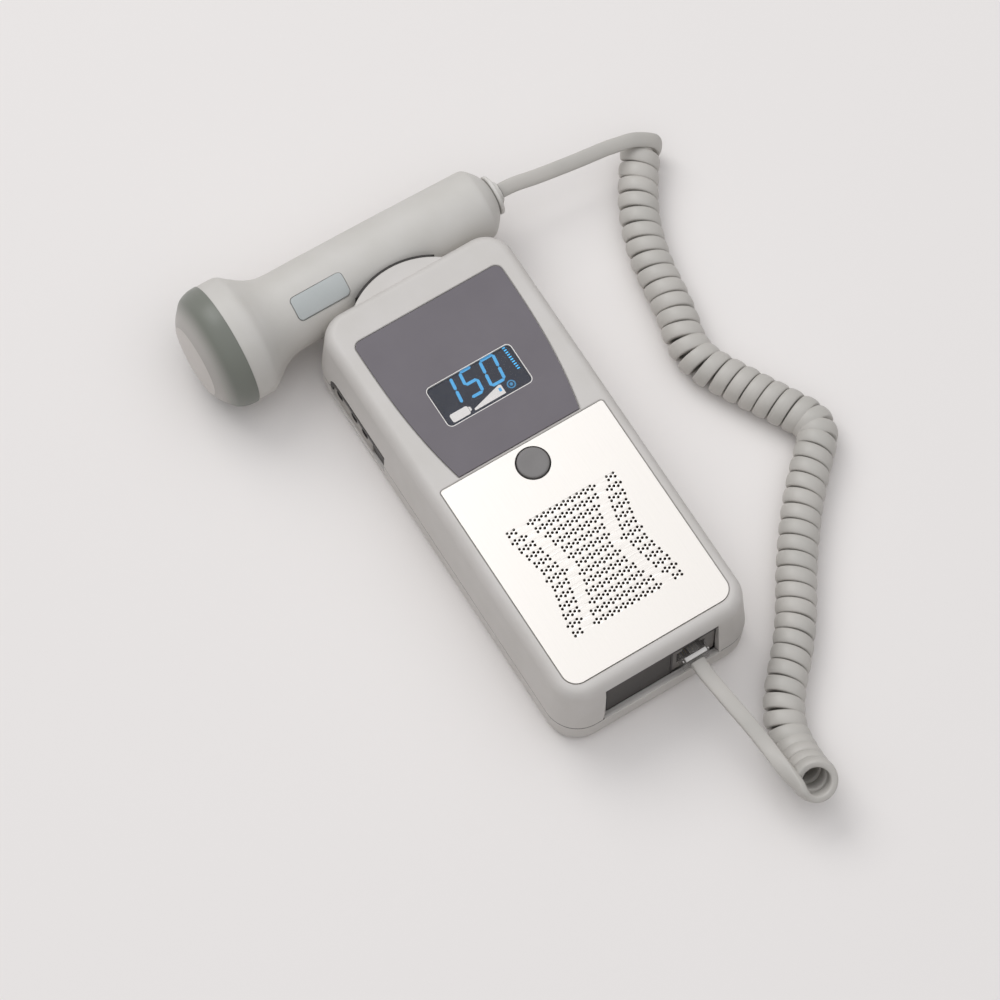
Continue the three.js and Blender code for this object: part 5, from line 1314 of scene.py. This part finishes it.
# %% [markdown]
# The set is a plain table of pale paper that runs far past the view. The light is one wide soft
# box above the far side, as the shadow on the near side shows, and a room that is brighter overhead.
# What the camera and the gloss see of the room is the same pale colour as the table.
# %% Floor, lights and world
FLOOR_COLOUR = "#e8e4e1"
FLOOR_REACH = 6000
FLOOR_DROP = 0.05
floor_material, floor_tree, floor_place = start_material("paper_backdrop_pale")
floor_clouds = add_node(floor_tree, "ShaderNodeTexNoise", {"Vector": floor_place, "Scale": 5, "Detail": 2})
finish_material(floor_tree, {
    "Base Color": two_shades(floor_tree, floor_clouds.outputs[0], "#e9e5e2", "#e7e3e0"),
    "Roughness": 0.9,
    "Specular IOR Level": 0.1,
})
corners = [(x * FLOOR_REACH, y * FLOOR_REACH, 0) for x, y in ((-1, -1), (1, -1), (1, 1), (-1, 1))]
floor = new_object("floor", mesh_of(corners, [(0, 1, 2, 3)]))
floor.data.materials.append(floor_material)
floor.location.z = -FLOOR_DROP * MM


lamp = new_object("far_soft_box", bpy.data.lights.new("far_soft_box", "AREA"))
lamp.data.shape = "SQUARE"
lamp.data.size = 1.5
lamp.data.energy = 18
lamp.location = (-0.26, 1.6, 2.0)
lamp.rotation_mode = "QUATERNION"
lamp.rotation_quaternion = lamp.location.to_track_quat("Z", "Y")
ROOM_RISE = 1.3
world = bpy.data.worlds.new("bright_room")
bpy.context.scene.world = world
world.use_nodes = True
room_tree = world.node_tree
room_tree.nodes.clear()
seen = add_node(room_tree, "ShaderNodeBackground", {"Color": linear(FLOOR_COLOUR), "Strength": 1})
direction = add_node(room_tree, "ShaderNodeTexCoord").outputs["Generated"]
height = add_node(room_tree, "ShaderNodeSeparateXYZ", {"Vector": direction}).outputs["Z"]
rise = add_node(room_tree, "ShaderNodeMapRange", {"Value": height, "To Max": ROOM_RISE}).outputs[0]
strength = add_node(room_tree, "ShaderNodeMath", {0: rise, 1: rise}, operation="MULTIPLY").outputs[0]
room = add_node(room_tree, "ShaderNodeBackground", {"Color": linear("#f6f7fa"), "Strength": strength})
paths = add_node(room_tree, "ShaderNodeLightPath").outputs
shown = paths["Is Camera Ray"]
for path in ("Is Glossy Ray", "Is Transmission Ray"):
    shown = add_node(room_tree, "ShaderNodeMath", {0: shown, 1: paths[path]}, operation="MAXIMUM").outputs[0]
mixed = add_node(room_tree, "ShaderNodeMixShader", {0: shown, 1: room.outputs[0], 2: seen.outputs[0]})
add_node(room_tree, "ShaderNodeOutputWorld", {"Surface": mixed.outputs[0]})
bpy.context.scene.view_settings.view_transform = "Standard"
print("set ready")
